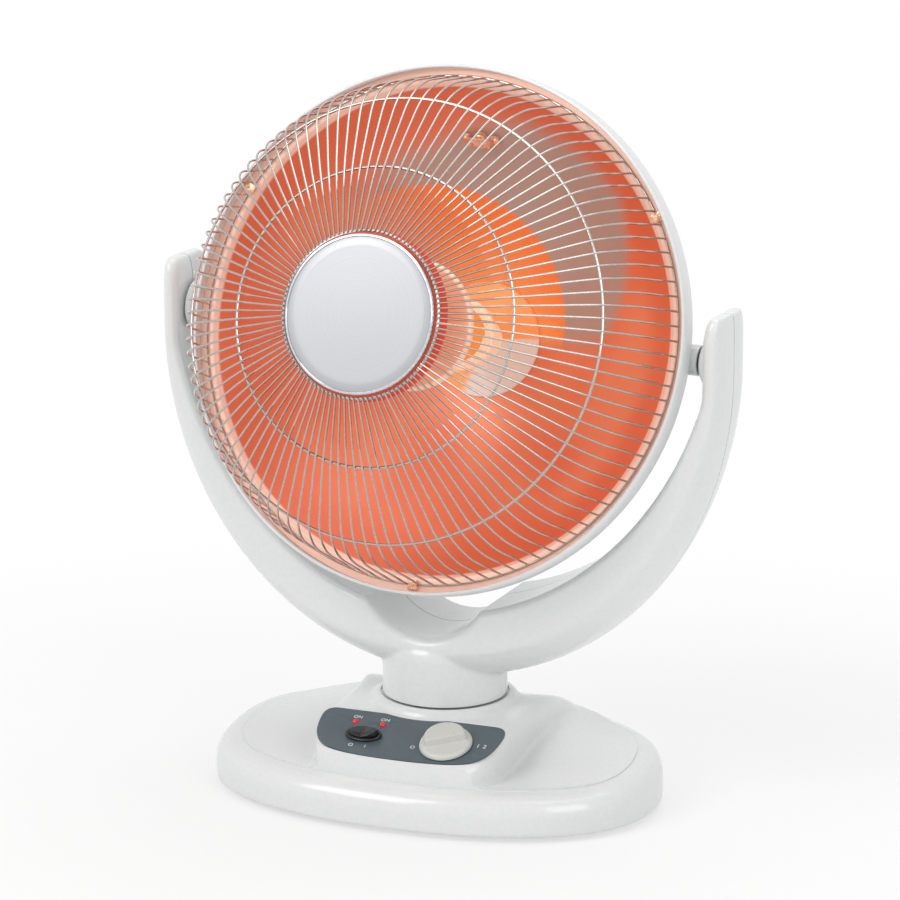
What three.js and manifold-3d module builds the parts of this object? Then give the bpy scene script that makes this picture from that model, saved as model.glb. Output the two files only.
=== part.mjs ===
// Parabolic (dish) heater: an oval base with a sloping control console, a turntable neck, a U-shaped
// yoke in two shells, and a tilting reflector head behind a domed guard of radial wires.
// Millimetres, +Z up, the front of the heater faces -Y, the origin is under the middle of its footprint.
import * as THREE from 'three';
import { mergeVertices } from 'three/addons/utils/BufferGeometryUtils.js';
import Module from 'manifold-3d';

const wasm = await Module();
wasm.setup();

const degree = Math.PI / 180;
const clearance = 0.4;            // between two pieces that touch or seat on each other

// Base
const footHeight = 5;
const coverBottom = 4;
const baseHalfLength = 166;
const baseHalfDepth = 108;
const footX = baseHalfLength - 56.5;   // feet from the middle of the base
const footY = baseHalfDepth - 51;
const baseCentreY = -12.8;
const basePower = 2.27;           // exponent of the superellipse outline
const baseShoulderHeight = 34;
const wallFoot = 8;               // below this the side wall is upright all round
const baseWall = 2.6;
const wingRise = 7;               // how far the wings climb towards the console
const rearLift = 1.27;            // the shoulder stands this much higher at the back
const consoleHeight = 67;
const consoleHalfWidth = 71;
const consoleRoot = 20;           // level where its walls start, inside the cover
const consoleFrontY = -109;
const consoleBackY = 84;
const consoleBackDrop = 22;
const panelSlope = 20 * degree;
const panelTopY = -52.5;
const plateThickness = 2.4;       // base plate

// Controls on the sloping panel: x across, down measured along the slope from its top edge
const panelThickness = 1.5;
const panelRecess = 1.4;
const panelHalfLength = 70;
const panelTop = 1;
const panelDepth = 50.7;
const panelNotch = 3.2;
const lensX = [-42.7, -21.7];
const lensDown = 14.4;
const lensRadius = 2.1;
const rockerX = -31;
const rockerDown = 28.2;
const rockerHalfLength = 10.9;
const rockerHalfWidth = 5.4;
const bezelWall = 1;
const rockerTilt = 8 * degree;
const knobX = 32;
const knobDown = 27.6;
const knobRadius = 19.3;
const knobHeight = 9.5;
const knobTurn = 48 * degree;      // direction of the grip
const knobShaftRadius = 3;

// Turntable and oscillation drive
const neckRadius = 45.2;
const neckBottom = 72.6;
const collarRadius = 54;
const collarTop = 71.4;
const collarFloor = 70.4;
const hubRadius = 17;
const hubBore = 12;
const bearingRadius = 30;
const driveArmRadius = 24;        // from the neck's axis to the pin of the drive arm
const driveLevel = 40;            // underside of the drive arm and the crank
const driveThickness = 4;
const motorX = -50;
const motorRadius = 24;
const motorHeight = 17;
const crankRadius = 13.8;
const crankRatio = 90 / 35;       // crank turns for each degree of swing
const rodThickness = 2.5;

// Yoke
const restPan = -2.3 * degree;
const armHalfSpan = 218;
const armCentreZ = 330;
const armDrop = 245;              // from the arm centre level to the underside of the yoke
const armTopZ = 374.5;
const armCapHeight = 20;
const armTopFall = 1;             // each way from the seam, towards the back
const armTopOuter = 1.5;          // rounding of an arm's end on its outer side
const armTopInner = 5;            // and on its inner side
const armTopDome = 8;             // and towards its front and back faces
const armThicknessTop = 14;
const armThicknessBottom = 57;
const partingY = 8;               // seam between the front and the back shell
const armFrontTop = 28;
const armFrontBottom = 50;
const armBackTop = 28;
const armBackBottom = 38;
const shellWall = 2.6;
const scoopRadius = 49;
const scoopFloorZ = 122;
const scoopBevel = 6;

// Head, with depths measured forward from the tilt axis
const pivotZ = 337.3;
const restTilt = 18 * degree;
const ringRadius = armHalfSpan - 28.4;
const ringBack = 11.5;
const ringFront = 22;
const ringLip = 6;
const ringWall = 2;
const reflectorRadius = ringRadius - 13.6;
const reflectorRimDepth = 17;
const reflectorVertexDepth = -73;
const sheet = 1.2;
const reflectorBore = 10;
const rearDepth = -86;
const rearWall = 1.8;
const ventCount = 12;
const bossRadius = 11;
const bossEnd = ringRadius + 3.8;
const boltRadius = 3;
const boltSeat = ringRadius - 14;      // underside of the bolt's head, inside the bowl
const bushRadius = 18;
const bushNeck = 8;
const washerThickness = 1.8;

// Guard
const wireCount = 108;
const wireHalf = 0.95;
const badgeRadius = 56;
const badgeDepth = 162.6;
const guardProfile = [
  [ringRadius - 17.6, 76], [ringRadius - 31.6, 101.5], [ringRadius - 83.6, 137],
  [badgeRadius + 5, badgeDepth - 2.6],
];
const guardRimRadius = ringRadius - 8;
const guardRimDepth = reflectorRimDepth + 1 + clearance + wireHalf;   // it rests on the reflector's flange
const crossRingRadius = 1.1;
const hubRingWire = 2.1;           // the ring that the wires end at and the badge sits in
const clipWidth = 7;
const clipSheet = 1.4;
const badgeThickness = 2.4;
const badgeRim = 2;
const hubPlateRadius = badgeRadius + 4;  // plate behind the badge

// Heating element
const vertexPlateRadius = 42;           // bright plate at the vertex of the reflector
const socketRadius = 14;
const coreRadius = 17.5;
const flangeRadius = 26;
const flangeThickness = 5;
const flangeDepth = -19;          // front face of the rear flange, where the coil starts
const headDepth = 56;             // back face of the front flange, where the coil ends
const headThickness = 3.4;
const coilWire = 1.4;
const coilTurns = 8;
const shieldRadius = 47;
const shieldDepth = 69;
const shieldCrown = 12;

// Cut-out on the upper slope of the reflector: heights above that slope
const cutoutRadius = reflectorRadius - 35;
const cutoutSize = 6;
const cutoutSeat = 0.8;
const cutoutTop = 5.2;

// Segments of a full turn: pieces that nest in each other share one count
const headSegments = 36;
const hubSegments = 24;
const neckSegments = 36;
const hollowCount = 18;           // corners of the base's inside and of the plate that closes it

const finishes = {
  white: { color: 0xdfe1e3, roughness: 0.28, metalness: 0 },
  panel: { color: 0x55636a, roughness: 0.5, metalness: 0 },
  black: { color: 0x1d1e20, roughness: 0.4, metalness: 0 },
  knob: { color: 0xcfcfc9, roughness: 0.35, metalness: 0 },
  red: { color: 0xc01822, roughness: 0.2, metalness: 0 },
  rubber: { color: 0x26272a, roughness: 0.8, metalness: 0 },
  steel: { color: 0xa9adb1, roughness: 0.4, metalness: 0.9 },
  chrome: { color: 0xd9dce0, roughness: 0.12, metalness: 1 },
  silver: { color: 0xcdd0d5, roughness: 0.35, metalness: 0.8 },
  reflector: { color: 0xe0693c, roughness: 0.25, metalness: 0.7 },
  ceramic: { color: 0xe8ddcc, roughness: 0.7, metalness: 0 },
  glow: { color: 0xf09628, roughness: 0.6, metalness: 0.2 },
  iron: { color: 0x4a4c50, roughness: 0.6, metalness: 0.6 },
  acetal: { color: 0xe6e4dc, roughness: 0.5, metalness: 0 },
};

// ---- geometry helpers ------------------------------------------------------------------------

// One closed body with merged corners and its faces turned outwards.
function closed(source) {
  const bare = source.index ? source.toNonIndexed() : source;
  bare.deleteAttribute('normal');
  bare.deleteAttribute('uv');
  const merged = mergeVertices(bare, 1e-4);
  const position = merged.attributes.position;
  const index = merged.index.array;
  const kept = [];
  const [a, b, c] = [new THREE.Vector3(), new THREE.Vector3(), new THREE.Vector3()];
  let volume = 0;
  for (let i = 0; i < index.length; i += 3) {
    const [p, q, r] = [index[i], index[i + 1], index[i + 2]];
    if (p === q || q === r || r === p) continue;
    kept.push(p, q, r);
    a.fromBufferAttribute(position, p);
    b.fromBufferAttribute(position, q);
    c.fromBufferAttribute(position, r);
    volume += a.dot(b.cross(c));
  }
  if (volume < 0) kept.reverse();
  merged.setIndex(kept);
  return merged;
}

function toSolid(geometry) {
  const ready = closed(geometry);
  return new wasm.Manifold(new wasm.Mesh({
    numProp: 3,
    vertProperties: Float32Array.from(ready.attributes.position.array),
    triVerts: Uint32Array.from(ready.index.array),
  }));
}

function fromSolid(solid) {
  const mesh = solid.getMesh();
  const geometry = new THREE.BufferGeometry();
  geometry.setAttribute('position', new THREE.BufferAttribute(mesh.vertProperties, 3));
  geometry.setIndex(new THREE.BufferAttribute(mesh.triVerts, 1));
  return geometry;
}

function cut(body, ...tools) {
  return fromSolid(tools.reduce((rest, tool) => rest.subtract(toSolid(tool)), toSolid(body)));
}

function join(body, ...others) {
  return fromSolid(others.reduce((whole, other) => whole.add(toSolid(other)), toSolid(body)));
}

// Revolves [radius, height] points about +Z. The points start and end on the axis or close on themselves.
function turned(points, segments = 48) {
  const profile = points.map(([radius, height]) => new THREE.Vector2(radius, height));
  return new THREE.LatheGeometry(profile, segments).rotateX(Math.PI / 2);
}

function tube(outer, inner, low, high, segments = 40) {
  return turned([[inner, low], [outer, low], [outer, high], [inner, high], [inner, low]], segments);
}

function disc(radius, low, high, segments = 40) {
  return turned([[0, low], [radius, low], [radius, high], [0, high]], segments);
}

function torus(radius, height, section, segments, sides) {
  const points = [];
  for (let i = 0; i <= sides; i += 1) {
    const angle = (i % sides) / sides * 2 * Math.PI;
    points.push([radius + section * Math.cos(angle), height + section * Math.sin(angle)]);
  }
  return turned(points, segments);
}

// Turns a piece made about +Z so that its height runs forward, along -Y.
function forward(geometry) {
  return geometry.rotateX(Math.PI / 2);
}

function box(width, depth, height, x = 0, y = 0, z = 0) {
  return new THREE.BoxGeometry(width, depth, height).translate(x, y, z);
}

function plate(shape, low, high, curveSegments = 12) {
  const options = { depth: high - low, bevelEnabled: false, curveSegments };
  return new THREE.ExtrudeGeometry(shape, options).translate(0, 0, low);
}

// Skins rings of equal point counts, with flat or fanned ends.
function loft(rings) {
  const count = rings[0].length;
  const corners = rings.flat();
  const faces = [];
  for (let k = 0; k < rings.length - 1; k += 1) {
    for (let i = 0; i < count; i += 1) {
      const j = (i + 1) % count;
      const [a, b, c, d] = [k * count + i, k * count + j, (k + 1) * count + j, (k + 1) * count + i];
      faces.push(a, b, c, a, c, d);
    }
  }
  const last = (rings.length - 1) * count;
  const middle = (start) => {
    const centre = new THREE.Vector3();
    for (let i = 0; i < count; i += 1) centre.add(corners[start + i]);
    corners.push(centre.divideScalar(count));
    return corners.length - 1;
  };
  const first = middle(0);
  const final = middle(last);
  for (let i = 0; i < count; i += 1) {
    const j = (i + 1) % count;
    faces.push(first, j, i, final, last + i, last + j);
  }
  const geometry = new THREE.BufferGeometry().setFromPoints(corners);
  geometry.setIndex(faces);
  return geometry;
}

function smooth(value) {
  const t = Math.min(Math.max(value, 0), 1);
  return t * t * (3 - 2 * t);
}

function mix(from, to, share) {
  return from + (to - from) * share;
}

function superellipse(halfX, halfY, power, centreY, count) {
  const points = [];
  for (let i = 0; i < count; i += 1) {
    const angle = (i / count) * 2 * Math.PI;
    const x = halfX * Math.sign(Math.cos(angle)) * Math.abs(Math.cos(angle)) ** (2 / power);
    const y = halfY * Math.sign(Math.sin(angle)) * Math.abs(Math.sin(angle)) ** (2 / power);
    points.push(new THREE.Vector2(x, y + centreY));
  }
  return points;
}

function piece(name, geometry, finish, group) {
  const mesh = new THREE.Mesh(closed(geometry), new THREE.MeshStandardMaterial(finishes[finish]));
  mesh.name = name;
  group.add(mesh);
  return mesh;
}

// ---- base ------------------------------------------------------------------------------------

// The cover rises from its low front to a higher back.
function lift(y) {
  return mix(1, rearLift, smooth((y + 60) / 110));
}

// The wings climb from the outer shoulder towards the console.
function wingHeight(x, y) {
  const back = smooth((y + 85) / 120);
  const inward = smooth((baseHalfLength - 20 - Math.abs(x)) / (baseHalfLength - 20 - consoleHalfWidth));
  return baseShoulderHeight * lift(y) + wingRise * back * inward;
}

function baseRing(inset, height, count) {
  return superellipse(baseHalfLength - inset, baseHalfDepth - inset, basePower, baseCentreY, count)
    .map((p) => new THREE.Vector3(p.x, p.y, height(p.x, p.y)));
}

// Side wall, rolled shoulder, a fine step, then the wings.
function baseDome(inset, drop, count, wall, wings) {
  const level = (z, y) => (z > wallFoot ? z * lift(y) : z) - drop;
  const rings = wall.map(([side, z]) => baseRing(inset + side, (x, y) => level(z, y), count));
  wings.forEach((side) => {
    rings.push(baseRing(inset + side, (x, y) => wingHeight(x, y) - drop, count));
  });
  return loft(rings);
}

function consoleTop(x, y) {
  const front = consoleHeight + Math.min(y - panelTopY, 0) * Math.tan(panelSlope);
  const back = consoleBackDrop * smooth((y - 25) / (consoleBackY - 25));
  const flare = 0.55 * Math.max(Math.abs(x) - consoleHalfWidth - 5, 0);
  return front - back - flare;
}

// Plan of the console: a rounded front, sides that widen to the back, and a flare at the rear corners.
function consoleOutline(inset, count) {
  const half = [
    [0, consoleFrontY], [34, consoleFrontY + 1.5], [56, consoleFrontY + 9], [67, consoleFrontY + 24],
    [consoleHalfWidth - 1, consoleFrontY + 42], [consoleHalfWidth + 1, -30], [consoleHalfWidth + 4, 12],
    [consoleHalfWidth + 12, 48], [consoleHalfWidth + 20, 66], [62, consoleBackY - 6], [30, consoleBackY - 1],
    [0, consoleBackY],
  ].map(([x, y]) => new THREE.Vector2(x, y));
  const mirrored = half.slice(1, -1).reverse().map((p) => new THREE.Vector2(-p.x, p.y));
  const whole = [...half, ...mirrored].map((p) => new THREE.Vector3(p.x, p.y, 0));
  const curve = new THREE.CatmullRomCurve3(whole, true, 'centripetal');
  const points = [];
  for (let i = 0; i < count; i += 1) {
    const here = curve.getPoint(i / count);
    const along = curve.getTangent(i / count);
    points.push(new THREE.Vector2(here.x - along.y * inset, here.y + along.x * inset));
  }
  return points;
}

function consoleBody(inset, drop, count, draft) {
  const foot = consoleOutline(inset - 2, count).map((p) => new THREE.Vector3(p.x, p.y, consoleRoot));
  const rings = [foot, ...draft.map(([side, below]) => consoleOutline(inset + side, count).map((p) => {
    const z = consoleTop(p.x, p.y) - below - drop;
    return new THREE.Vector3(p.x, p.y, Math.max(z, consoleRoot));
  }))];
  const rim = consoleOutline(inset + 9, count);
  const share = 0.7;
  rings.push(rim.map((p) => {
    const [x, y] = [p.x * share, mix(panelTopY, p.y, share)];
    return new THREE.Vector3(x, y, consoleTop(x, y) - drop);
  }));
  return loft(rings);
}

// Pieces on the sloping face are made in its own frame: x across, y up the slope, z outwards.
function onPanel(geometry, x, down) {
  return geometry.translate(x, -down, 0).rotateX(panelSlope).translate(0, panelTopY, consoleHeight);
}

function panelShape(margin) {
  const half = panelHalfLength + margin;
  const top = margin - panelTop;
  const bottom = -panelDepth - margin;
  const notchHalf = 24;
  const corner = 10;
  const shape = new THREE.Shape();
  shape.moveTo(-notchHalf, top);
  shape.quadraticCurveTo(0, top - 2 * panelNotch, notchHalf, top);
  shape.lineTo(half - corner, top);
  shape.quadraticCurveTo(half, top, half, top - corner);
  shape.bezierCurveTo(half - 0.5, -26, half - 4, -38, half - 14, bottom + 7.5);
  shape.bezierCurveTo(half - 24, bottom + 1.5, half - 44, bottom, 0, bottom);
  shape.bezierCurveTo(44 - half, bottom, 24 - half, bottom + 1.5, 14 - half, bottom + 7.5);
  shape.bezierCurveTo(4 - half, -38, 0.5 - half, -26, -half, top - corner);
  shape.quadraticCurveTo(-half, top, corner - half, top);
  shape.closePath();
  return shape;
}

function ellipse(halfLength, halfWidth) {
  const shape = new THREE.Shape();
  shape.absellipse(0, 0, halfLength, halfWidth, 0, 2 * Math.PI);
  return shape;
}

const rockerGap = 0.8;
const barrelLength = rockerHalfLength + rockerGap + bezelWall;
const barrelWidth = rockerHalfWidth + rockerGap + bezelWall;
const cordInletZ = 15;
const cordInletRadius = 5.5;
const cordInletY = baseCentreY + baseHalfDepth;
const tipSwitchX = 95;
const tipSwitchY = -20;
const plungerRadius = 4;

function baseCover() {
  const domeWall = [[1.2, coverBottom], [0, 7], [0, 17], [1.6, 24.5], [6, 30.2], [16, 33.4]];
  const hollowWall = [[1.2, coverBottom - 1], [0, 19], [6, 29.4]];
  const draft = [[0, 16], [0.8, 9], [2.6, 3.2], [7, 0.4]];
  const collarStart = 58;
  const bore = bearingRadius + clearance;
  const collar = turned([
    [bore, collarStart], [collarRadius, collarStart], [collarRadius, collarTop - 4],
    [collarRadius - 2.6, collarTop], [neckRadius + 2.6, collarTop], [neckRadius + 2, collarFloor],
    [bore, collarFloor], [bore, collarStart],
  ], neckSegments);
  const outside = join(baseDome(0, 0, 36, domeWall, [19, 60]), consoleBody(0, 0, 32, draft), collar);
  const inside = join(baseDome(baseWall, baseWall, hollowCount, hollowWall, [40]),
    consoleBody(baseWall, baseWall, hollowCount, [[1, 12], [6, 2]]));
  const hollow = cut(inside, tube(bore + 6, bore, 50, 80, hubSegments));
  const recess = onPanel(plate(panelShape(clearance), -panelRecess, 8, 4), 0, 0);
  const rockerHole = plate(ellipse(barrelLength + clearance, barrelWidth + clearance), -20, 4, 8);
  const windows = [
    onPanel(rockerHole, rockerX, rockerDown),
    onPanel(disc(knobShaftRadius + 2.5, -20, 4, 10), knobX, knobDown),
    ...lensX.map((x) => onPanel(disc(lensRadius + 0.6, -20, 4, 8), x, lensDown)),
  ];
  const cordHole = disc(cordInletRadius + clearance, -20, 20, 12).rotateX(Math.PI / 2)
    .translate(0, cordInletY, cordInletZ);
  return cut(outside, hollow, recess, ...windows, disc(bore, 40, 90, neckSegments), cordHole);
}

function basePlate() {
  const inset = baseWall + 1.2 + clearance;
  const [halfLength, halfDepth] = [baseHalfLength - inset, baseHalfDepth - inset];
  const outline = superellipse(halfLength, halfDepth, basePower, baseCentreY, hollowCount);
  const body = plate(new THREE.Shape(outline), footHeight, footHeight + plateThickness);
  const plungerHole = disc(plungerRadius + clearance, -5, 20, 12).translate(tipSwitchX, tipSwitchY, 0);
  const slots = [];
  for (let i = 0; i < 5; i += 1) slots.push(box(4, 40, 20, 26 + 9 * i, 20, 0));
  return cut(body, plungerHole, ...slots);
}

function foot() {
  const top = footHeight - clearance;
  return turned([[0, 0], [8.8, 0], [10, 1.2], [10, top], [0, top]], 14);
}

const root = new THREE.Group();

function buildBase(group) {
  piece('base_cover', baseCover(), 'white', group);
  piece('base_plate', basePlate(), 'iron', group);
  const [front, back] = [-1, 1];
  const corners = [['front_left', -1, front], ['front_right', 1, front],
    ['back_left', -1, back], ['back_right', 1, back]];
  corners.forEach(([side, x, y]) => {
    piece(`foot_${side}`, foot(), 'rubber', group).position.set(x * footX, baseCentreY + y * footY, 0);
  });
  const floor = footHeight + plateThickness + clearance;
  piece('ballast_weight', box(96, 34, 12, 0, -72, floor + 6), 'iron', group);
  const [bore, outer] = [3.4, cordInletRadius];
  const inlet = turned([[bore, -5], [outer, -5], [outer, 2.6], [outer + 2.6, 2.6], [outer + 1.4, 6],
    [bore, 6], [bore, -5]], 16).rotateX(-Math.PI / 2);
  piece('cord_inlet', inlet.translate(0, cordInletY - baseWall + 3, cordInletZ), 'black', group);
  const seat = collarFloor + clearance;
  const bearing = turned([[hubRadius + clearance, 59], [bearingRadius, 59], [bearingRadius, seat], [38, seat],
    [38, seat + 2], [hubRadius + clearance, seat + 2], [hubRadius + clearance, 59]], hubSegments);
  piece('turntable_bearing', bearing, 'acetal', group);
}

const panelFace = panelThickness + clearance - panelRecess;

function buildControls(group) {
  const under = clearance - panelRecess;
  const holes = [
    plate(ellipse(barrelLength + clearance, barrelWidth + clearance), -3, 4, 8)
      .translate(rockerX, -rockerDown, 0),
    disc(knobShaftRadius + 1.5, -3, 4, 10).translate(knobX, -knobDown, 0),
    ...lensX.map((x) => disc(lensRadius + 0.3, -3, 4, 8).translate(x, -lensDown, 0)),
  ];
  const panel = cut(plate(panelShape(0), under, panelFace, 4), ...holes);
  piece('control_panel', onPanel(panel, 0, 0), 'panel', group);
  ['left', 'right'].forEach((side, i) => {
    const lens = turned([[0, -6], [lensRadius, -6], [lensRadius, panelFace + 0.5],
      [lensRadius * 0.6, panelFace + 1.3], [0, panelFace + 1.5]], 8);
    piece(`indicator_lens_${side}`, onPanel(lens, lensX[i], lensDown), 'red', group);
  });
  const seat = panelFace + clearance;
  const barrel = ellipse(barrelLength, barrelWidth);
  const flange = ellipse(barrelLength + bezelWall, barrelWidth + bezelWall);
  const bore = ellipse(barrelLength - bezelWall, barrelWidth - bezelWall);
  const shoulder = join(plate(barrel, -8, seat + 0.5, 8), plate(flange, seat, seat + 1.5, 12));
  const bezel = cut(shoulder, plate(bore, -9, 9, 8));
  piece('rocker_bezel', onPanel(bezel, rockerX, rockerDown), 'black', group);
  const switchTop = -panelRecess - baseWall - 4;
  const nose = disc(4.1, switchTop - 1, panelFace - 0.2, 10);
  const switchBody = join(box(26, 24, 12, 0, 0, switchTop - 6), nose);
  const shaftHole = disc(knobShaftRadius + clearance, -30, 10, 10);
  piece('rotary_switch', onPanel(cut(switchBody, shaftHole), knobX, knobDown), 'black', group);
}

// Two faces that meet in a shallow valley, here with the left end pressed.
function buildRocker(group) {
  const [length, valley, end, root] = [rockerHalfLength, 2.2, 3.8, -4];
  const side = new THREE.Shape([[-length, root], [length, root], [length, end], [0, valley], [-length, end]]
    .map(([x, z]) => new THREE.Vector2(x, z)));
  const block = plate(side, -10, 10).rotateX(Math.PI / 2);
  const rim = plate(ellipse(rockerHalfLength, rockerHalfWidth), root - 1, end + 1, 8);
  const rocker = fromSolid(toSolid(block).intersect(toSolid(rim)));
  const pressed = rocker.rotateY(-rockerTilt).translate(0, 0, panelFace + 0.6);
  piece('oscillation_rocker', onPanel(pressed, rockerX, rockerDown), 'black', group);
}

function buildKnob(group) {
  const under = panelFace + clearance;
  const top = under + knobHeight;
  const skirt = turned([[0, under], [knobRadius, under], [knobRadius - 0.6, under + 2.2],
    [knobRadius - 2.4, under + 3.6], [0, under + 3.6]], 24);
  const crown = turned([[0, under + 3], [knobRadius - 2.8, under + 3], [knobRadius - 3.4, top - 1.5],
    [knobRadius - 5, top], [0, top]], 24);
  const flank = box(50, 20, 20, 0, -15.5, under + 12.6).rotateX(-18 * degree);
  const grip = cut(crown, flank);
  const pocket = disc(knobShaftRadius + clearance, under - 1, under + 6, 10);
  const knob = cut(join(skirt, grip), pocket).rotateZ(knobTurn);
  piece('power_knob', onPanel(knob, knobX, knobDown), 'knob', group);
  const shaft = disc(knobShaftRadius, -24, under + 6 - clearance, 10);
  piece('switch_shaft', onPanel(shaft, knobX, knobDown), 'steel', group);
}

function buildDrive(group) {
  const motorTop = driveLevel - 4;
  const motor = tube(motorRadius, 2.4, motorTop - motorHeight, motorTop, 18);
  const ears = [-1, 1].map((side) => box(16, 12, 3, side * (motorRadius + 5), 0, motorTop - 1.5));
  const floor = footHeight + plateThickness + clearance;
  const post = (side) => disc(4, floor, motorTop - 3, 8).translate(side * (motorRadius + 8), 0, 0);
  const drive = join(motor, ...ears, post(-1), post(1)).translate(motorX, driveArmRadius, 0);
  piece('oscillation_motor', drive, 'steel', group);
  const housingTop = floor + 24;
  const plungerBore = disc(plungerRadius + clearance, 0, housingTop - 3, 12);
  const housing = cut(box(26, 20, 24, 0, 0, floor + 12), plungerBore);
  piece('tip_switch', housing.translate(tipSwitchX, tipSwitchY, 0), 'black', group);
}

function plunger() {
  const top = footHeight + plateThickness + 14;
  return turned([[0, 0], [plungerRadius - 1, 0], [plungerRadius, 1], [plungerRadius, top], [0, top]], 12)
    .translate(tipSwitchX, tipSwitchY, 0);
}

// ---- turntable and yoke ----------------------------------------------------------------------

function driveArm() {
  const top = driveLevel + driveThickness;
  const shape = new THREE.Shape();
  shape.absarc(0, 0, hubRadius + 7, 0, 2 * Math.PI);
  const lug = new THREE.Shape();
  lug.absarc(0, driveArmRadius, 7, 0, Math.PI);
  lug.lineTo(-9, 8);
  lug.lineTo(9, 8);
  lug.closePath();
  const arm = join(plate(shape, driveLevel, top, 12), plate(lug, driveLevel, top, 6));
  const pin = disc(2.5, driveLevel, top + clearance + rodThickness + 1, 8).translate(0, driveArmRadius, 0);
  return cut(join(arm, pin), disc(hubRadius + clearance, 0, 90, hubSegments));
}

function linkRod() {
  const low = driveLevel + driveThickness + clearance;
  const [x1, y1] = [0, driveArmRadius];
  const [x2, y2] = [motorX, driveArmRadius + crankRadius];
  const length = Math.hypot(x2 - x1, y2 - y1);
  const bar = box(length, 7, rodThickness, length / 2, 0, 0);
  const eyes = [0, length].map((x) => disc(6, -rodThickness / 2, rodThickness / 2, 12).translate(x, 0, 0));
  const holes = [0, length].map((x) => disc(2.5 + 2 * clearance, -5, 5, 8).translate(x, 0, 0));
  return cut(join(bar, ...eyes), ...holes).rotateZ(Math.atan2(y2 - y1, x2 - x1))
    .translate(x1, y1, low + rodThickness / 2);
}

function crank() {
  const low = driveLevel;
  const lever = new THREE.Shape();
  lever.absarc(0, 0, 6, Math.PI, 2 * Math.PI);
  lever.absarc(0, crankRadius, 5.5, 0, Math.PI);
  lever.closePath();
  const shaft = disc(2, low - 12, low + 1, 10);
  return join(plate(lever, low, low + driveThickness, 6), shaft).rotateZ(restPan * crankRatio)
    .translate(motorX, driveArmRadius, 0);
}

function turntableHub() {
  const flange = collarFloor + clearance + 2 + clearance;
  const top = flange + 4.6;
  const outer = neckRadius - shellWall - clearance;
  return turned([[hubBore, 32], [hubRadius, 32], [hubRadius, flange], [outer, flange], [outer, top],
    [hubBore, top], [hubBore, 32]], hubSegments);
}

// Outer line of the yoke as stations from the left arm's top, round the bottom, to the right arm's top.
// Cap is the share of the rounding at an arm's end, and turn grows from the arms to the bottom.
function yokeStations(inset, capCount, curveCount) {
  const arm = (side) => {
    const levels = [];
    for (let i = 0; i <= capCount; i += 1) {
      const angle = capCount ? (i / capCount) * 90 * degree : 0;
      const z = armTopZ - inset - armCapHeight * (1 - Math.sin(angle));
      levels.push({ x: side * armHalfSpan, z, nx: -side, nz: 0, turn: 0, cap: 1 - Math.cos(angle) });
    }
    return levels;
  };
  const straight = 0.07;
  const bend = [];
  for (let i = 0; i <= curveCount; i += 1) {
    const angle = (i / curveCount) * Math.PI;
    const [x, z] = [armHalfSpan * Math.cos(angle), armCentreZ - armDrop * Math.sin(angle)];
    const normal = new THREE.Vector2(-x / armHalfSpan ** 2, (armCentreZ - z) / armDrop ** 2).normalize();
    const turn = Math.max(Math.sin(angle) - straight, 0) / (1 - straight);
    bend.push({ x, z, nx: normal.x, nz: normal.y, turn, cap: 0 });
  }
  return [...arm(-1).reverse(), ...bend.reverse(), ...arm(1)];
}

// Half a section of the yoke on one side of the seam: [depth from the outer line, distance from the seam].
function yokeSection(station, inset, side, arcCount) {
  const { turn, cap } = station;
  const reach = side < 0 ? mix(armFrontTop, armFrontBottom, turn) : mix(armBackTop, armBackBottom, turn);
  const near = inset + armTopOuter * cap;
  const deep = mix(armThicknessTop, armThicknessBottom, turn) - inset - armTopInner * cap;
  const wide = reach - inset - armTopDome * cap;
  const seam = inset > 0 ? -3 : clearance / 2;
  const half = mix(near, deep, 0.5);
  const section = [[near, seam]];
  for (let i = 1; i <= arcCount; i += 1) {
    const angle = (i / arcCount) * 90 * degree;
    section.push([half - (half - near) * Math.cos(angle) ** 0.8, Math.max(wide * Math.sin(angle) ** 0.8, 1)]);
  }
  const edge = inset > 0 ? 0 : Math.min(3.5, (deep - half) * 0.6);
  if (edge > 0) section.push([deep - edge, wide]);
  section.push([deep, wide - edge], [deep, seam]);
  return section;
}

function yokeHalf(inset, side, capCount, curveCount, arcCount) {
  const rings = yokeStations(inset, capCount, curveCount).map((s) => (
    yokeSection(s, inset, side, arcCount).map(([depth, across]) => {
      const fall = s.cap * armTopFall * (1 + side * across / armBackTop);
      return new THREE.Vector3(s.x + s.nx * depth, partingY + side * across, s.z + s.nz * depth - fall);
    })
  ));
  return loft(rings);
}

function alongY(geometry) {
  return geometry.rotateX(Math.PI / 2);
}

function alongX(geometry) {
  return geometry.rotateY(Math.PI / 2);
}

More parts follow.
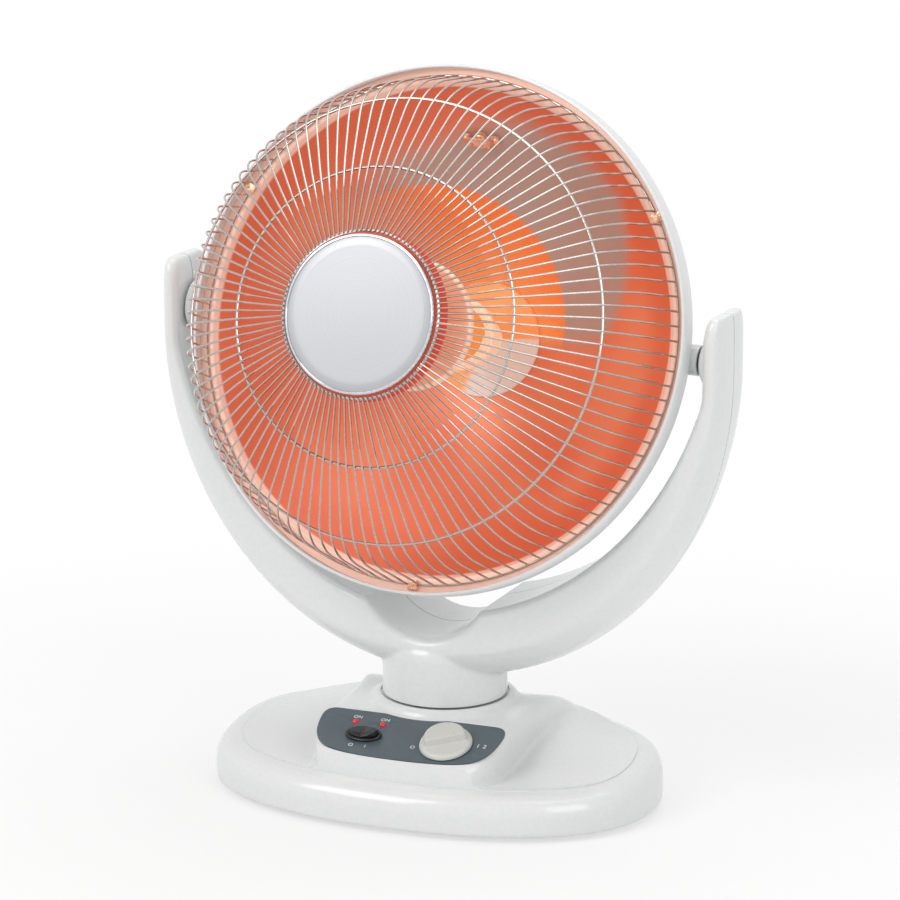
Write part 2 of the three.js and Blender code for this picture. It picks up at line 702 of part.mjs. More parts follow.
function yokeShell(side) {
  const neckTop = 116;
  const neck = turned([[0, neckBottom], [neckRadius, neckBottom], [neckRadius, neckTop - 8],
    [neckRadius - 3, neckTop - 2.4], [neckRadius - 9, neckTop], [0, neckTop]], neckSegments);
  const halfSpace = box(300, 150, 600, 0, partingY + side * (75 + clearance / 2), 300);
  const neckHalf = fromSolid(toSolid(neck).intersect(toSolid(halfSpace)));
  const boreRadius = neckRadius - shellWall;
  const bore = turned([[0, neckBottom - 2], [boreRadius, neckBottom - 2], [boreRadius, 104],
    [boreRadius - 6, 111], [0, 111]], 24);
  const scoopZ = scoopFloorZ + scoopRadius;
  const scoop = alongY(disc(scoopRadius, -90, 90, 36)).translate(0, 0, scoopZ);
  const scoopWall = alongY(disc(scoopRadius + shellWall, -90, 90, 20)).translate(0, 0, scoopZ);
  const face = partingY - armFrontBottom;
  const lip = scoopRadius + scoopBevel;
  const bevelProfile = [[0, -scoopBevel], [scoopRadius - 1, -scoopBevel], [lip, 1], [lip, 12], [0, 12]];
  const bevel = alongY(turned(bevelProfile, 36)).translate(0, face, scoopZ);
  const inside = cut(yokeHalf(shellWall, side, 0, 14, 2), scoopWall);
  const bushHoles = [-1, 1].map((x) => alongX(disc(bushNeck + clearance, -12, 12, 12))
    .translate(x * (armHalfSpan - armThicknessTop), partingY, pivotZ));
  const solid = join(yokeHalf(0, side, 3, 24, 4), neckHalf);
  return cut(solid, inside, bore, scoop, ...(side < 0 ? [bevel] : []), ...bushHoles);
}

function pivotBush(side) {
  const innerFace = armHalfSpan - armThicknessTop - 2.2;
  const start = bossEnd + washerThickness + 2 * clearance;
  const end = armHalfSpan - shellWall - clearance - 0.6;
  const bore = boltRadius + clearance;
  const body = turned([[bore, start], [bushRadius - 6, start], [bushRadius - 1.6, start + 3.4],
    [bushRadius, innerFace], [bushNeck, innerFace], [bushNeck, end], [bore, end], [bore, start]], 18);
  return alongX(body).scale(side, 1, 1);
}

function buildTurntable(group) {
  piece('turntable_hub', turntableHub(), 'steel', group);
  piece('hub_retainer', tube(28, hubRadius + clearance, 53, 58.6, hubSegments), 'steel', group);
  piece('drive_arm', driveArm(), 'steel', group);
  piece('yoke_front_shell', yokeShell(-1), 'white', group);
  piece('yoke_back_shell', yokeShell(1), 'white', group);
  [['left', -1], ['right', 1]].forEach(([name, side]) => {
    piece(`pivot_bush_${name}`, pivotBush(side), 'white', group).position.set(0, partingY, pivotZ);
  });
}

// ---- head ------------------------------------------------------------------------------------

function reflectorDepth(radius) {
  const rise = reflectorRimDepth - reflectorVertexDepth;
  return reflectorVertexDepth + rise * (radius / reflectorRadius) ** 2;
}

const reflectorFlange = ringRadius - ringWall - clearance;

const reflectorRadii = [reflectorBore, vertexPlateRadius, 84, reflectorRadius - 46, reflectorRadius];

function reflector() {
  const inner = reflectorRadii.map((r) => [r, reflectorDepth(r)]);
  const outer = reflectorRadii.map((r) => [r, reflectorDepth(r) - sheet]).reverse();
  const flange = [[reflectorFlange, reflectorRimDepth + 1], [reflectorFlange, reflectorRimDepth + 1 - sheet]];
  return turned([...inner, ...flange, ...outer, inner[0]], headSegments);
}

// Bowl behind the reflector, from its open edge to its flat back.
function rearProfile(inset) {
  return [[6, ringBack], [10.6, -12], [39.6, -44], [89.6, -70], [145.6, rearDepth]]
    .map(([within, d]) => [ringRadius - within - inset, d + inset * 0.7]);
}

function rearShell() {
  const flange = reflectorRimDepth + 1 - sheet - 2 * clearance;
  const outer = rearProfile(0);
  const inner = rearProfile(rearWall);
  const rim = [[reflectorFlange, flange - rearWall], [reflectorFlange, flange], [inner[0][0], flange]];
  const bowl = turned([[0, rearDepth], ...outer.slice().reverse(), ...rim, ...inner,
    [0, inner[inner.length - 1][1]]], headSegments);
  const cavity = turned([[0, 0], ...inner.slice(1, 3).reverse().map(([r]) => [r, 0]), [inner[0][0], ringBack],
    [inner[0][0], 30], [0, 30]], headSegments);
  const crosswise = (geometry, side) => alongX(geometry).scale(side, 1, 1).rotateX(-Math.PI / 2);
  const bosses = [-1, 1].map((side) => crosswise(disc(bossRadius, reflectorRadius, bossEnd, 16), side));
  const bore = () => disc(boltRadius + clearance, reflectorRadius - 26, bossEnd + 6.6, 10);
  const bores = [-1, 1].map((side) => crosswise(bore(), side));
  const slots = [];
  for (let i = 0; i < ventCount; i += 1) {
    slots.push(box(40, 5, 60, 112, 0, rearDepth).rotateZ(((i + 0.5) / ventCount) * 2 * Math.PI));
  }
  return cut(join(bowl, ...bosses.map((boss) => cut(boss, cavity))), ...bores, ...slots);
}

function trimRing() {
  const [r, w] = [ringRadius, ringWall];
  const lip = ringFront + ringLip;
  return turned([
    [r - w, ringBack], [r, ringBack], [r, ringFront], [r - 1.6, lip - 2], [r - 4.6, lip],
    [r - 5.8, lip - 0.8], [r - 5.4, lip - 2.2], [r - w - 0.6, lip - 4], [r - w, ringFront - 1],
    [r - w, ringBack],
  ], headSegments);
}

// One lattice: a square rim wire with a radial wire rising from each of its nodes to the hub.
function wireGuard() {
  const half = wireHalf;
  const points = [];
  const faces = [];
  const polar = (radius, height, angle, aside) => new THREE.Vector3(
    radius * Math.cos(angle) - aside * Math.sin(angle),
    radius * Math.sin(angle) + aside * Math.cos(angle),
    height,
  );
  const quad = (a, b, c, d) => faces.push(a, b, c, a, c, d);
  const path = [[guardRimRadius, guardRimDepth + half], ...guardProfile];
  const normals = path.map((p, k) => {
    const before = path[Math.max(k - 1, 0)];
    const after = path[Math.min(k + 1, path.length - 1)];
    const along = new THREE.Vector2(after[0] - before[0], after[1] - before[1]).normalize();
    return k === 0 ? new THREE.Vector2(1, 0) : new THREE.Vector2(along.y, -along.x);
  });
  const perWire = 4 + 4 * path.length;
  for (let w = 0; w < wireCount; w += 1) {
    const angle = (w / wireCount) * 2 * Math.PI;
    const back = guardRimDepth - half;
    [[1, -1], [1, 1], [-1, 1], [-1, -1]].forEach(([out, aside]) => {
      points.push(polar(guardRimRadius + out * half, back, angle, aside * half));
    });
    path.forEach(([radius, height], k) => {
      const n = normals[k];
      [[1, -1], [1, 1], [-1, 1], [-1, -1]].forEach(([out, aside]) => {
        points.push(polar(radius + out * n.x * half, height + out * n.y * half, angle, aside * half));
      });
    });
  }
  for (let w = 0; w < wireCount; w += 1) {
    const start = w * perWire;
    const next = ((w + 1) % wireCount) * perWire;
    const [b, f] = [start, start + 4];
    quad(b, b + 3, b + 2, b + 1);
    quad(b, b + 1, f + 1, f);
    quad(b + 2, b + 3, f + 3, f + 2);
    const sideOf = (s, plus) => (plus ? [s + 1, s + 2, s + 6, s + 5] : [s, s + 3, s + 7, s + 4]);
    const [from, to] = [sideOf(start, true), sideOf(next, false)];
    for (let i = 0; i < 4; i += 1) {
      const j = (i + 1) % 4;
      quad(from[j], to[j], to[i], from[i]);
    }
    for (let k = 1; k < path.length; k += 1) {
      const low = start + 4 * k;
      for (let i = 0; i < 4; i += 1) {
        const j = (i + 1) % 4;
        quad(low + i, low + j, low + 4 + j, low + 4 + i);
      }
    }
    const end = start + 4 * path.length;
    quad(end, end + 1, end + 2, end + 3);
  }
  const geometry = new THREE.BufferGeometry().setFromPoints(points);
  geometry.setIndex(faces);
  return geometry;
}

// A cross ring lies just behind the wires at one bend of their profile.
function crossRing(index, segments) {
  const [before, here, after] = [guardProfile[index - 1], guardProfile[index], guardProfile[index + 1]];
  const along = new THREE.Vector2(after[0] - before[0], after[1] - before[1]).normalize();
  const drop = wireHalf + crossRingRadius + clearance;
  return torus(here[0] - along.y * drop, here[1] + along.x * drop, crossRingRadius, segments, 4);
}

// Shallow dish behind the wires, with a boss that carries the badge through the hub ring.
function hubBackPlate() {
  const [r, d, boss] = [hubPlateRadius, badgeDepth - 17, 8];
  const seat = badgeDepth - badgeThickness - clearance;
  return turned([[0, d + 5], [r - 14, d + 5], [r, d], [r, d + 1.4], [r - 14, d + 6.4], [boss, d + 6.4],
    [boss, seat], [0, seat]], 28);
}

function badgePlate() {
  const [r, d] = [badgeRadius - badgeRim - clearance, badgeDepth];
  const back = d - badgeThickness;
  return turned([[0, back], [r, back], [r, d], [r * 0.6, d + 1.6], [0, d + 2.2]], 32);
}

function badgeBezel() {
  const [r, d, w] = [badgeRadius, badgeDepth, badgeRim];
  return turned([[r - w, d - 4], [r, d - 4], [r, d - 0.4], [r - w, d + 0.6], [r - w, d - 4]], 32);
}

// The coil lies on the cylinder of the core: along is measured round it and height runs forward.
function coilRoute(steps) {
  const radius = coreRadius + clearance + coilWire;
  const straight = 2 * coilWire;
  const bend = 2 * coilWire;
  const lead = straight + bend;
  const [low, high] = [flangeDepth + clearance, headDepth - clearance];
  const length = 2 * Math.PI * radius * coilTurns;
  const rise = high - low - 2 * lead;
  const lean = Math.atan2(rise, length);
  const route = [[0, low]];
  const corner = [0, 1, 2, 3].map((i) => (i / 3) * (Math.PI / 2 - lean));
  corner.forEach((turn) => route.push([bend * (1 - Math.cos(turn)), low + straight + bend * Math.sin(turn)]));
  const [startAlong, startHeight] = route[route.length - 1];
  const [endAlong, endHeight] = [length - startAlong, high - (startHeight - low)];
  const count = coilTurns * steps;
  for (let i = 1; i < count; i += 1) {
    route.push([mix(startAlong, endAlong, i / count), mix(startHeight, endHeight, i / count)]);
  }
  corner.slice().reverse().forEach((turn) => {
    route.push([length - bend * (1 - Math.cos(turn)), high - straight - bend * Math.sin(turn)]);
  });
  route.push([length, high]);
  return { route, radius };
}

function leastGap(points, apart) {
  let least = Infinity;
  for (let i = 0; i < points.length; i += 1) {
    for (let j = i + apart; j < points.length; j += 1) {
      least = Math.min(least, points[i].distanceTo(points[j]));
    }
  }
  return least - 2 * coilWire;
}

// One unbroken wire: it leaves the rear flange square, winds round the core and meets the front one square.
function heatingCoil() {
  const [steps, sides] = [18, 5];
  const { route, radius } = coilRoute(steps);
  const centres = route.map(([along, height]) => new THREE.Vector3(
    radius * Math.cos(along / radius), radius * Math.sin(along / radius), height,
  ));
  const gap = leastGap(centres, steps / 2).toFixed(2);
  console.log(`heating_coil: ${coilTurns} turns, least gap to itself ${gap} mm`);
  const rings = route.map(([along, height], i) => {
    const before = route[Math.max(i - 1, 0)];
    const after = route[Math.min(i + 1, route.length - 1)];
    const ending = i === 0 || i === route.length - 1;
    const lean = ending ? Math.PI / 2 : Math.atan2(after[1] - before[1], after[0] - before[0]);
    const angle = along / radius;
    const outward = new THREE.Vector3(Math.cos(angle), Math.sin(angle), 0);
    const round = new THREE.Vector3(-Math.sin(angle), Math.cos(angle), 0);
    const across = round.multiplyScalar(-Math.sin(lean)).setZ(Math.cos(lean));
    const ring = [];
    for (let j = 0; j < sides; j += 1) {
      const around = ((j + 0.5) / sides) * 2 * Math.PI;
      ring.push(centres[i].clone().addScaledVector(outward, coilWire * Math.cos(around))
        .addScaledVector(across, coilWire * Math.sin(around)));
    }
    return ring;
  });
  return loft(rings);
}

// Bobbin: a socket at the vertex, two flanges and the core between them.
function ceramicCore() {
  const seat = reflectorDepth(vertexPlateRadius) + 1.4 + 2 * clearance;
  return turned([[0, seat], [socketRadius, seat], [socketRadius, flangeDepth - flangeThickness],
    [flangeRadius, flangeDepth - flangeThickness], [flangeRadius, flangeDepth], [coreRadius, flangeDepth],
    [coreRadius, headDepth], [flangeRadius - 2, headDepth], [flangeRadius - 3, headDepth + headThickness],
    [0, headDepth + headThickness]], 20);
}

function heatShield() {
  const [r, d, crown] = [shieldRadius, shieldDepth, shieldCrown];
  const skin = [[0, d + crown], [r * 0.42, d + crown * 0.84], [r * 0.8, d + crown * 0.4], [r, d]];
  const back = skin.map(([radius, depth]) => [radius, depth - sheet]);
  return turned([...back, ...skin.slice().reverse()], 28);
}

// Puts a piece made on a flat seat onto the upper slope of the reflector.
function onReflector(geometry) {
  const outer = reflectorRadii[reflectorRadii.length - 1];
  const inner = reflectorRadii[reflectorRadii.length - 2];
  const slope = (reflectorDepth(outer) - reflectorDepth(inner)) / (outer - inner);
  return geometry.rotateX(Math.atan(slope))
    .translate(0, cutoutRadius, reflectorDepth(inner) + slope * (cutoutRadius - inner));
}

function thermalCutout() {
  return onReflector(disc(cutoutSize, cutoutSeat, cutoutTop, 14));
}

// Arched strap over the cut-out, with a flat foot on either side.
function cutoutStrap() {
  const [foot, leg, sheetTop] = [14, 8.4, cutoutTop + clearance];
  const under = [[-foot, cutoutSeat + 0.4], [-leg, cutoutSeat + 0.4], [-leg + 0.8, sheetTop]];
  const over = [[-leg, sheetTop + 1], [-leg - 0.8, cutoutSeat + 1.4], [-foot, cutoutSeat + 1.4]];
  const across = (points) => points.map(([x, z]) => [-x, z]).reverse();
  const outline = [...under, ...across(under), ...across(over), ...over];
  const shape = new THREE.Shape(outline.map(([x, z]) => new THREE.Vector2(x, z)));
  return onReflector(plate(shape, -4, 4).rotateX(Math.PI / 2));
}

// It stands on the reflector's flange and reaches over the guard's rim between two wires.
function guardClip() {
  const [seat, over] = [reflectorRimDepth + 1 + clearance, guardRimDepth + wireHalf + clearance];
  const inner = guardRimRadius - 3.6;
  const step = guardRimRadius + wireHalf + 1.5 * clearance;
  const outer = reflectorFlange - 1.2;
  const top = over + clipSheet;
  const corners = [[step, seat], [outer, seat], [outer, top], [inner, top], [inner, over], [step, over]];
  const side = new THREE.Shape(corners.map(([x, z]) => new THREE.Vector2(x, z)));
  const strip = plate(side, -clipWidth / 2, clipWidth / 2).rotateX(Math.PI / 2);
  const screw = disc(1.9, over + 0.6, top + 1.2, 10).translate((step + outer) / 2, 0, 0);
  return join(strip, screw);
}

function buildHead(group) {
  const add = (name, geometry, finish) => piece(name, forward(geometry), finish, group);
  add('trim_ring', trimRing(), 'white');
  add('rear_shell', rearShell(), 'white');
  add('reflector_dish', reflector(), 'reflector');
  add('wire_guard', wireGuard(), 'chrome');
  add('guard_ring_outer', crossRing(1, 40), 'chrome');
  add('guard_ring_inner', crossRing(2, 32), 'chrome');
  const [hubEnd, hubLevel] = guardProfile[guardProfile.length - 1];
  add('guard_hub_ring', torus(hubEnd - hubRingWire - clearance, hubLevel, hubRingWire, 32, 4), 'chrome');
  add('hub_back_plate', hubBackPlate(), 'silver');
  add('badge_plate', badgePlate(), 'silver');
  add('badge_bezel', badgeBezel(), 'chrome');
  const plateDepth = reflectorDepth(vertexPlateRadius) + clearance;
  add('reflector_hub_plate', disc(vertexPlateRadius, plateDepth, plateDepth + 1.4, 28), 'silver');
  add('thermal_cutout', thermalCutout(), 'black');
  add('cutout_strap', cutoutStrap(), 'steel');
  add('ceramic_core', ceramicCore(), 'ceramic');
  add('heating_coil', heatingCoil(), 'glow');
  add('heat_shield', heatShield(), 'silver');
  const studLow = headDepth + headThickness + clearance;
  add('shield_stud', disc(4, studLow, shieldDepth + shieldCrown - sheet - 1, 12), 'steel');
  [['right', 30], ['left', 150], ['bottom', 270]].forEach(([name, angle]) => {
    add(`guard_clip_${name}`, guardClip().rotateZ((angle + 180 / wireCount) * degree), 'steel');
  });
  [['left', -1], ['right', 1]].forEach(([name, side]) => {
    const [seat, tip] = [boltSeat, armHalfSpan - 6];
    const bolt = turned([[0, seat - 4], [6, seat - 4], [6, seat], [boltRadius, seat], [boltRadius, tip],
      [0, tip]], 10);
    piece(`pivot_bolt_${name}`, alongX(bolt).scale(side, 1, 1), 'steel', group);
    const start = bossEnd + clearance;
    const washer = tube(10, boltRadius + clearance, start, start + washerThickness, 16);
    piece(`friction_washer_${name}`, alongX(washer).scale(side, 1, 1), 'iron', group);
  });
}

// ---- assembly --------------------------------------------------------------------------------

const pan = new THREE.Group();
pan.rotation.z = restPan;
const head = new THREE.Group();
head.position.set(0, partingY, pivotZ);
head.rotation.x = -restTilt;
pan.add(head);
root.add(pan);

buildBase(root);
buildControls(root);
buildRocker(root);
buildKnob(root);
buildDrive(root);
piece('tip_plunger', plunger(), 'acetal', root);
piece('motor_crank', crank(), 'steel', root);
buildTurntable(pan);
piece('link_rod', linkRod(), 'steel', pan);
buildHead(head);

root.updateMatrixWorld(true);
const footprint = new THREE.Box3().setFromObject(root, true);
root.position.set(-(footprint.min.x + footprint.max.x) / 2, -(footprint.min.y + footprint.max.y) / 2, 0);

export default root;
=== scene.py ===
import math
import bpy
from mathutils import Matrix, Vector


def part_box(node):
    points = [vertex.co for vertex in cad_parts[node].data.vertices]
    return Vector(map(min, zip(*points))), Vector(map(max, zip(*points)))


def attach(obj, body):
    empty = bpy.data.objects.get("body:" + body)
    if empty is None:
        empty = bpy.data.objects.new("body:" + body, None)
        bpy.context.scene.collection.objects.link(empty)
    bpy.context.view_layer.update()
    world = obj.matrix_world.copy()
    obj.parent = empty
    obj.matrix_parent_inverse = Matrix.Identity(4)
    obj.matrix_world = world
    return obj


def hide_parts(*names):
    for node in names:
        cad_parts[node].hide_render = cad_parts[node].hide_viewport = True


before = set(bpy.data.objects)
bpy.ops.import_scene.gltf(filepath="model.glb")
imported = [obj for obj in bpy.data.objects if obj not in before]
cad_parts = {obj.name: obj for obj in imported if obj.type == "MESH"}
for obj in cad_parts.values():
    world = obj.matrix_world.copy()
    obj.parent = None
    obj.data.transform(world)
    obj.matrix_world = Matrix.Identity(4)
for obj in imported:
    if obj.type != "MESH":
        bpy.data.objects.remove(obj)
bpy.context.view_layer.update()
print("frame loaded:", len(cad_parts), "nodes")

mm = 0.001


def at(x=0, y=0, z=0):
    return Matrix.Translation((x * mm, y * mm, z * mm))


def turned(degrees, axis):
    return Matrix.Rotation(math.radians(degrees), 4, axis)


# the same places as in the CAD: the neck's axis stands a little off the middle of the footprint
coverLow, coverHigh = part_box("base_cover")
baseFront = -120.8
neckAxis = Vector(((coverLow.x + coverHigh.x) / 2, coverLow.y - baseFront * mm, 0))
standing = Matrix.Translation(neckAxis)
panned = standing @ turned(-2.3, "Z")
pivotHeight = 337.3
seamY = 8
tilted = panned @ at(0, seamY, pivotHeight) @ turned(-18, "X") @ turned(90, "X")
panelSlope = 20
panelTopY, panelTopZ = -52.5, 67
onPanel = standing @ at(0, panelTopY, panelTopZ) @ turned(panelSlope, "X")


def deselectAll():
    if bpy.context.object and bpy.context.object.mode != "OBJECT":
        bpy.ops.object.mode_set(mode="OBJECT")
    bpy.ops.object.select_all(action="DESELECT")


def selectOnly(*objects):
    deselectAll()
    for obj in objects:
        obj.select_set(True)
    bpy.context.view_layer.objects.active = objects[0]


def editAll(obj):
    selectOnly(obj)
    bpy.ops.object.mode_set(mode="EDIT")
    bpy.ops.mesh.select_all(action="SELECT")


def facingOut(obj):
    editAll(obj)
    bpy.ops.mesh.normals_make_consistent(inside=False)
    bpy.ops.object.mode_set(mode="OBJECT")
    return obj


# moves an object to its place and puts that place into its mesh
def settle(obj, place):
    selectOnly(obj)
    obj.matrix_world = place @ obj.matrix_world
    bpy.context.view_layer.update()
    bpy.ops.object.transform_apply(location=True, rotation=True, scale=True)
    return obj


def nameIt(obj, name):
    obj.name = name
    obj.data.name = name
    return obj


def smoothShade(obj, angle=35):
    selectOnly(obj)
    bpy.ops.object.shade_smooth_by_angle(angle=math.radians(angle))
    return obj


def applied(obj, kind, **settings):
    selectOnly(obj)
    modifier = obj.modifiers.new(kind.lower(), kind)
    for key, value in settings.items():
        setattr(modifier, key, value)
    bpy.ops.object.modifier_apply(modifier=modifier.name)
    return obj


# a boolean with one tool, which is then thrown away
def carved(obj, tool, operation="DIFFERENCE"):
    applied(obj, "BOOLEAN", operation=operation, object=tool, solver="EXACT")
    bpy.data.objects.remove(tool)
    return obj


def joined(first, *others):
    selectOnly(first, *others)
    bpy.ops.object.join()
    return bpy.context.object


def copied(obj, name):
    selectOnly(obj)
    bpy.ops.object.duplicate()
    return nameIt(bpy.context.object, name)


def melted(obj, voxel, rounds):
    applied(obj, "REMESH", mode="VOXEL", voxel_size=voxel * mm)
    return applied(obj, "SMOOTH", factor=0.5, iterations=rounds)


# rounds the corners of a line of points
def softened(points, reach, steps=4):
    soft = [tuple(points[0])]
    for before, here, after in zip(points, points[1:], points[2:]):
        before, here, after = Vector(before), Vector(here), Vector(after)
        near = min(reach, (here - before).length * 0.48, (after - here).length * 0.48)
        start = here + (before - here).normalized() * near
        end = here + (after - here).normalized() * near
        for i in range(steps + 1):
            t = i / steps
            soft.append(tuple(start * (1 - t) ** 2 + here * 2 * t * (1 - t) + end * t * t))
    soft.append(tuple(points[-1]))
    return soft


# a vertex is drawn out along the profile and spun round the Z axis
def spun(name, profile, steps, place=Matrix()):
    deselectAll()
    bpy.ops.mesh.primitive_plane_add(size=0.01)
    obj = nameIt(bpy.context.object, name)
    editAll(obj)
    bpy.ops.mesh.merge(type="CENTER")
    bpy.ops.transform.translate(value=(profile[0][0] * mm, 0, profile[0][1] * mm))
    for here, there in zip(profile, profile[1:]):
        move = ((there[0] - here[0]) * mm, 0, (there[1] - here[1]) * mm)
        bpy.ops.mesh.extrude_region_move(TRANSFORM_OT_translate={"value": move})
    bpy.ops.mesh.select_all(action="SELECT")
    bpy.ops.mesh.spin(steps=steps, angle=2 * math.pi, center=(0, 0, 0), axis=(0, 0, 1))
    bpy.ops.mesh.select_all(action="SELECT")
    bpy.ops.mesh.remove_doubles(threshold=1e-6)
    bpy.ops.mesh.normals_make_consistent(inside=False)
    bpy.ops.object.mode_set(mode="OBJECT")
    smoothShade(obj)
    return settle(obj, place)


# a filled circle takes the outline's shape and is drawn up to a plate
def plate(name, outline, low, high, place=Matrix(), edge=0.0):
    deselectAll()
    bpy.ops.mesh.primitive_circle_add(vertices=len(outline), radius=0.01, fill_type="NGON")
    obj = nameIt(bpy.context.object, name)
    for vertex, point in zip(obj.data.vertices, outline):
        vertex.co = (point[0] * mm, point[1] * mm, low * mm)
    editAll(obj)
    bpy.ops.mesh.extrude_region_move(TRANSFORM_OT_translate={"value": (0, 0, (high - low) * mm)})
    facingOut(obj)
    if edge:
        applied(obj, "BEVEL", width=edge * mm, segments=3, limit_method="ANGLE", angle_limit=math.radians(40))
    smoothShade(obj)
    return settle(obj, place)


def block(name, size, centre, place=Matrix(), edge=0.0):
    deselectAll()
    bpy.ops.mesh.primitive_cube_add(size=1)
    obj = nameIt(bpy.context.object, name)
    obj.scale = [s * mm for s in size]
    obj.location = [c * mm for c in centre]
    settle(obj, Matrix())
    if edge:
        applied(obj, "BEVEL", width=edge * mm, segments=3)
    smoothShade(obj)
    return settle(obj, place)


# skins rings of points; the ends are closed, or the last ring meets the first
def lofted(name, rings, loop=False):
    count = len(rings[0])
    points = [Vector(p) * mm for ring in rings for p in ring]
    faces = []
    spans = len(rings) if loop else len(rings) - 1
    for k in range(spans):
        here, there = k * count, (k + 1) % len(rings) * count
        for i in range(count):
            j = (i + 1) % count
            faces.append((here + i, here + j, there + j, there + i))
    if not loop:
        for start in (0, (len(rings) - 1) * count):
            ring = points[start:start + count]
            points.append(sum(ring, Vector()) / count)
            faces += [(start + i, start + (i + 1) % count, len(points) - 1) for i in range(count)]
    mesh = bpy.data.meshes.new(name)
    mesh.from_pydata(points, [], faces)
    obj = bpy.data.objects.new(name, mesh)
    bpy.context.collection.objects.link(obj)
    return facingOut(obj)


# a round wire along a line of points
def wireAlong(name, points, radius):
    deselectAll()
    curve = bpy.data.curves.new(name, "CURVE")
    curve.dimensions = "3D"
    curve.bevel_depth, curve.bevel_resolution, curve.use_fill_caps = radius * mm, 1, True
    spline = curve.splines.new("POLY")
    spline.points.add(len(points) - 1)
    for point, (x, y, z) in zip(spline.points, points):
        point.co = (x * mm, y * mm, z * mm, 1)
    wire = bpy.data.objects.new(name, curve)
    bpy.context.collection.objects.link(wire)
    selectOnly(wire)
    bpy.ops.object.convert(target="MESH")
    return bpy.context.object


def smoothStep(value):
    t = min(max(value, 0), 1)
    return t * t * (3 - 2 * t)


def mix(start, end, share):
    return start + (end - start) * share


def oval(halfLength, halfWidth, count=48, centre=(0, 0)):
    turn = 2 * math.pi / count
    return [(centre[0] + halfLength * math.cos(i * turn), centre[1] + halfWidth * math.sin(i * turn))
            for i in range(count)]


def linear(hexColour):
    channels = [int(hexColour[i:i + 2], 16) / 255 for i in (1, 3, 5)]
    return [c / 12.92 if c <= 0.04045 else ((c + 0.055) / 1.055) ** 2.4 for c in channels] + [1]


# an input is either a value or another node's socket
def addNode(tree, kind, settings={}, inputs={}):
    node = tree.nodes.new("ShaderNode" + kind)
    for key, value in settings.items():
        setattr(node, key, value)
    for key, value in inputs.items():
        if isinstance(value, bpy.types.NodeSocket):
            tree.links.new(value, node.inputs[key])
        else:
            node.inputs[key].default_value = value
    return node


def newMaterial(name, **values):
    material = bpy.data.materials.new(name)
    material.use_nodes = True
    tree = material.node_tree
    shader = tree.nodes["Principled BSDF"]
    for key, value in values.items():
        shader.inputs[key.replace("_", " ")].default_value = value
    return material, tree, shader


# object coordinates in millimetres, seen from the head's own frame: x right, y up, z forward
def headCoordinates(tree):
    coordinates = addNode(tree, "TexCoord")
    mapping = addNode(tree, "Mapping", {"vector_type": "TEXTURE"},
                      {"Location": tilted.translation, "Rotation": tilted.to_euler("XYZ"),
                       "Scale": (mm, mm, mm), "Vector": coordinates.outputs["Object"]})
    return mapping.outputs["Vector"]


# the place across the head's axis, the distance from it, the height over it and the angle round it
def headPolar(tree):
    flat = addNode(tree, "VectorMath", {"operation": "MULTIPLY"}, {0: headCoordinates(tree), 1: (1, 1, 0)})
    here = flat.outputs["Vector"]
    radius = addNode(tree, "VectorMath", {"operation": "LENGTH"}, {0: here}).outputs["Value"]
    parts = addNode(tree, "SeparateXYZ", {}, {0: here}).outputs
    turn = addNode(tree, "Math", {"operation": "ARCTAN2"}, {0: parts["Y"], 1: parts["X"]})
    angle = addNode(tree, "Math", {"operation": "MULTIPLY"}, {0: turn.outputs["Value"], 1: 180 / math.pi})
    return here, radius, parts["Y"], angle.outputs["Value"]


# a relief from noise, with the bump's distance in millimetres
def relief(tree, shader, settings, inputs, strength, distance):
    noise = addNode(tree, "TexNoise", settings, inputs)
    bump = addNode(tree, "Bump", {}, {"Strength": strength, "Distance": distance * mm,
                                      "Height": noise.outputs["Fac"]})
    tree.links.new(bump.outputs["Normal"], shader.inputs["Normal"])
    return noise


def grain(tree, shader, size, strength, distance):
    coordinates = addNode(tree, "TexCoord")
    inputs = {"Scale": 1 / (size * mm), "Detail": 2.0, "Vector": coordinates.outputs["Object"]}
    return relief(tree, shader, {}, inputs, strength, distance)


# fine circles round the head's axis, as turning and spinning leave them
def turningMarks(tree, shader, radius, spacing, detail, strength, distance):
    inputs = {"Scale": 1 / spacing, "Detail": detail, "W": radius}
    return relief(tree, shader, {"noise_dimensions": "1D"}, inputs, strength, distance)


def tinted(tree, shader, noise, dark, light, low=0.35, high=0.65):
    ramp = addNode(tree, "ValToRGB", {}, {"Fac": noise.outputs["Fac"]})
    for stop, place, colour in zip(ramp.color_ramp.elements, (low, high), (dark, light)):
        stop.position, stop.color = place, linear(colour)
    tree.links.new(ramp.outputs["Color"], shader.inputs["Base Color"])
    return ramp


def plainFinish(name, dark, light, size, strength, distance, **values):
    material, tree, shader = newMaterial(name, **values)
    noise = grain(tree, shader, size, strength, distance)
    tinted(tree, shader, noise, dark, light)
    return material


# glossy moulded ABS: a soft clear shine over a very faint orange-peel of 3 mm
glossyAbs = plainFinish("glossyAbs", "#e6e8e8", "#e9eaea", 3.0, 0.02, 0.02, Roughness=0.16, IOR=1.53)
# matt printed polycarbonate of the panel, with a fine 0.6 mm grain
panelPolycarbonate = plainFinish("panelPolycarbonate", "#505d63", "#56636a", 0.6, 0.12, 0.03,
                                 Roughness=0.38, IOR=1.58)
# black polished nylon of the rocker
blackNylon = plainFinish("blackNylon", "#161718", "#1d1e20", 0.8, 0.08, 0.02, Roughness=0.22, IOR=1.53)
# eggshell ABS of the knob, a little warmer than the cover
knobAbs = plainFinish("knobAbs", "#d0d0cb", "#d6d6d1", 1.2, 0.08, 0.03, Roughness=0.32, IOR=1.53)
# moulded rubber, with a 1 mm spark-eroded grain
footRubber = plainFinish("footRubber", "#222326", "#2b2c2f", 1.0, 0.4, 0.08, Roughness=0.8, IOR=1.52)
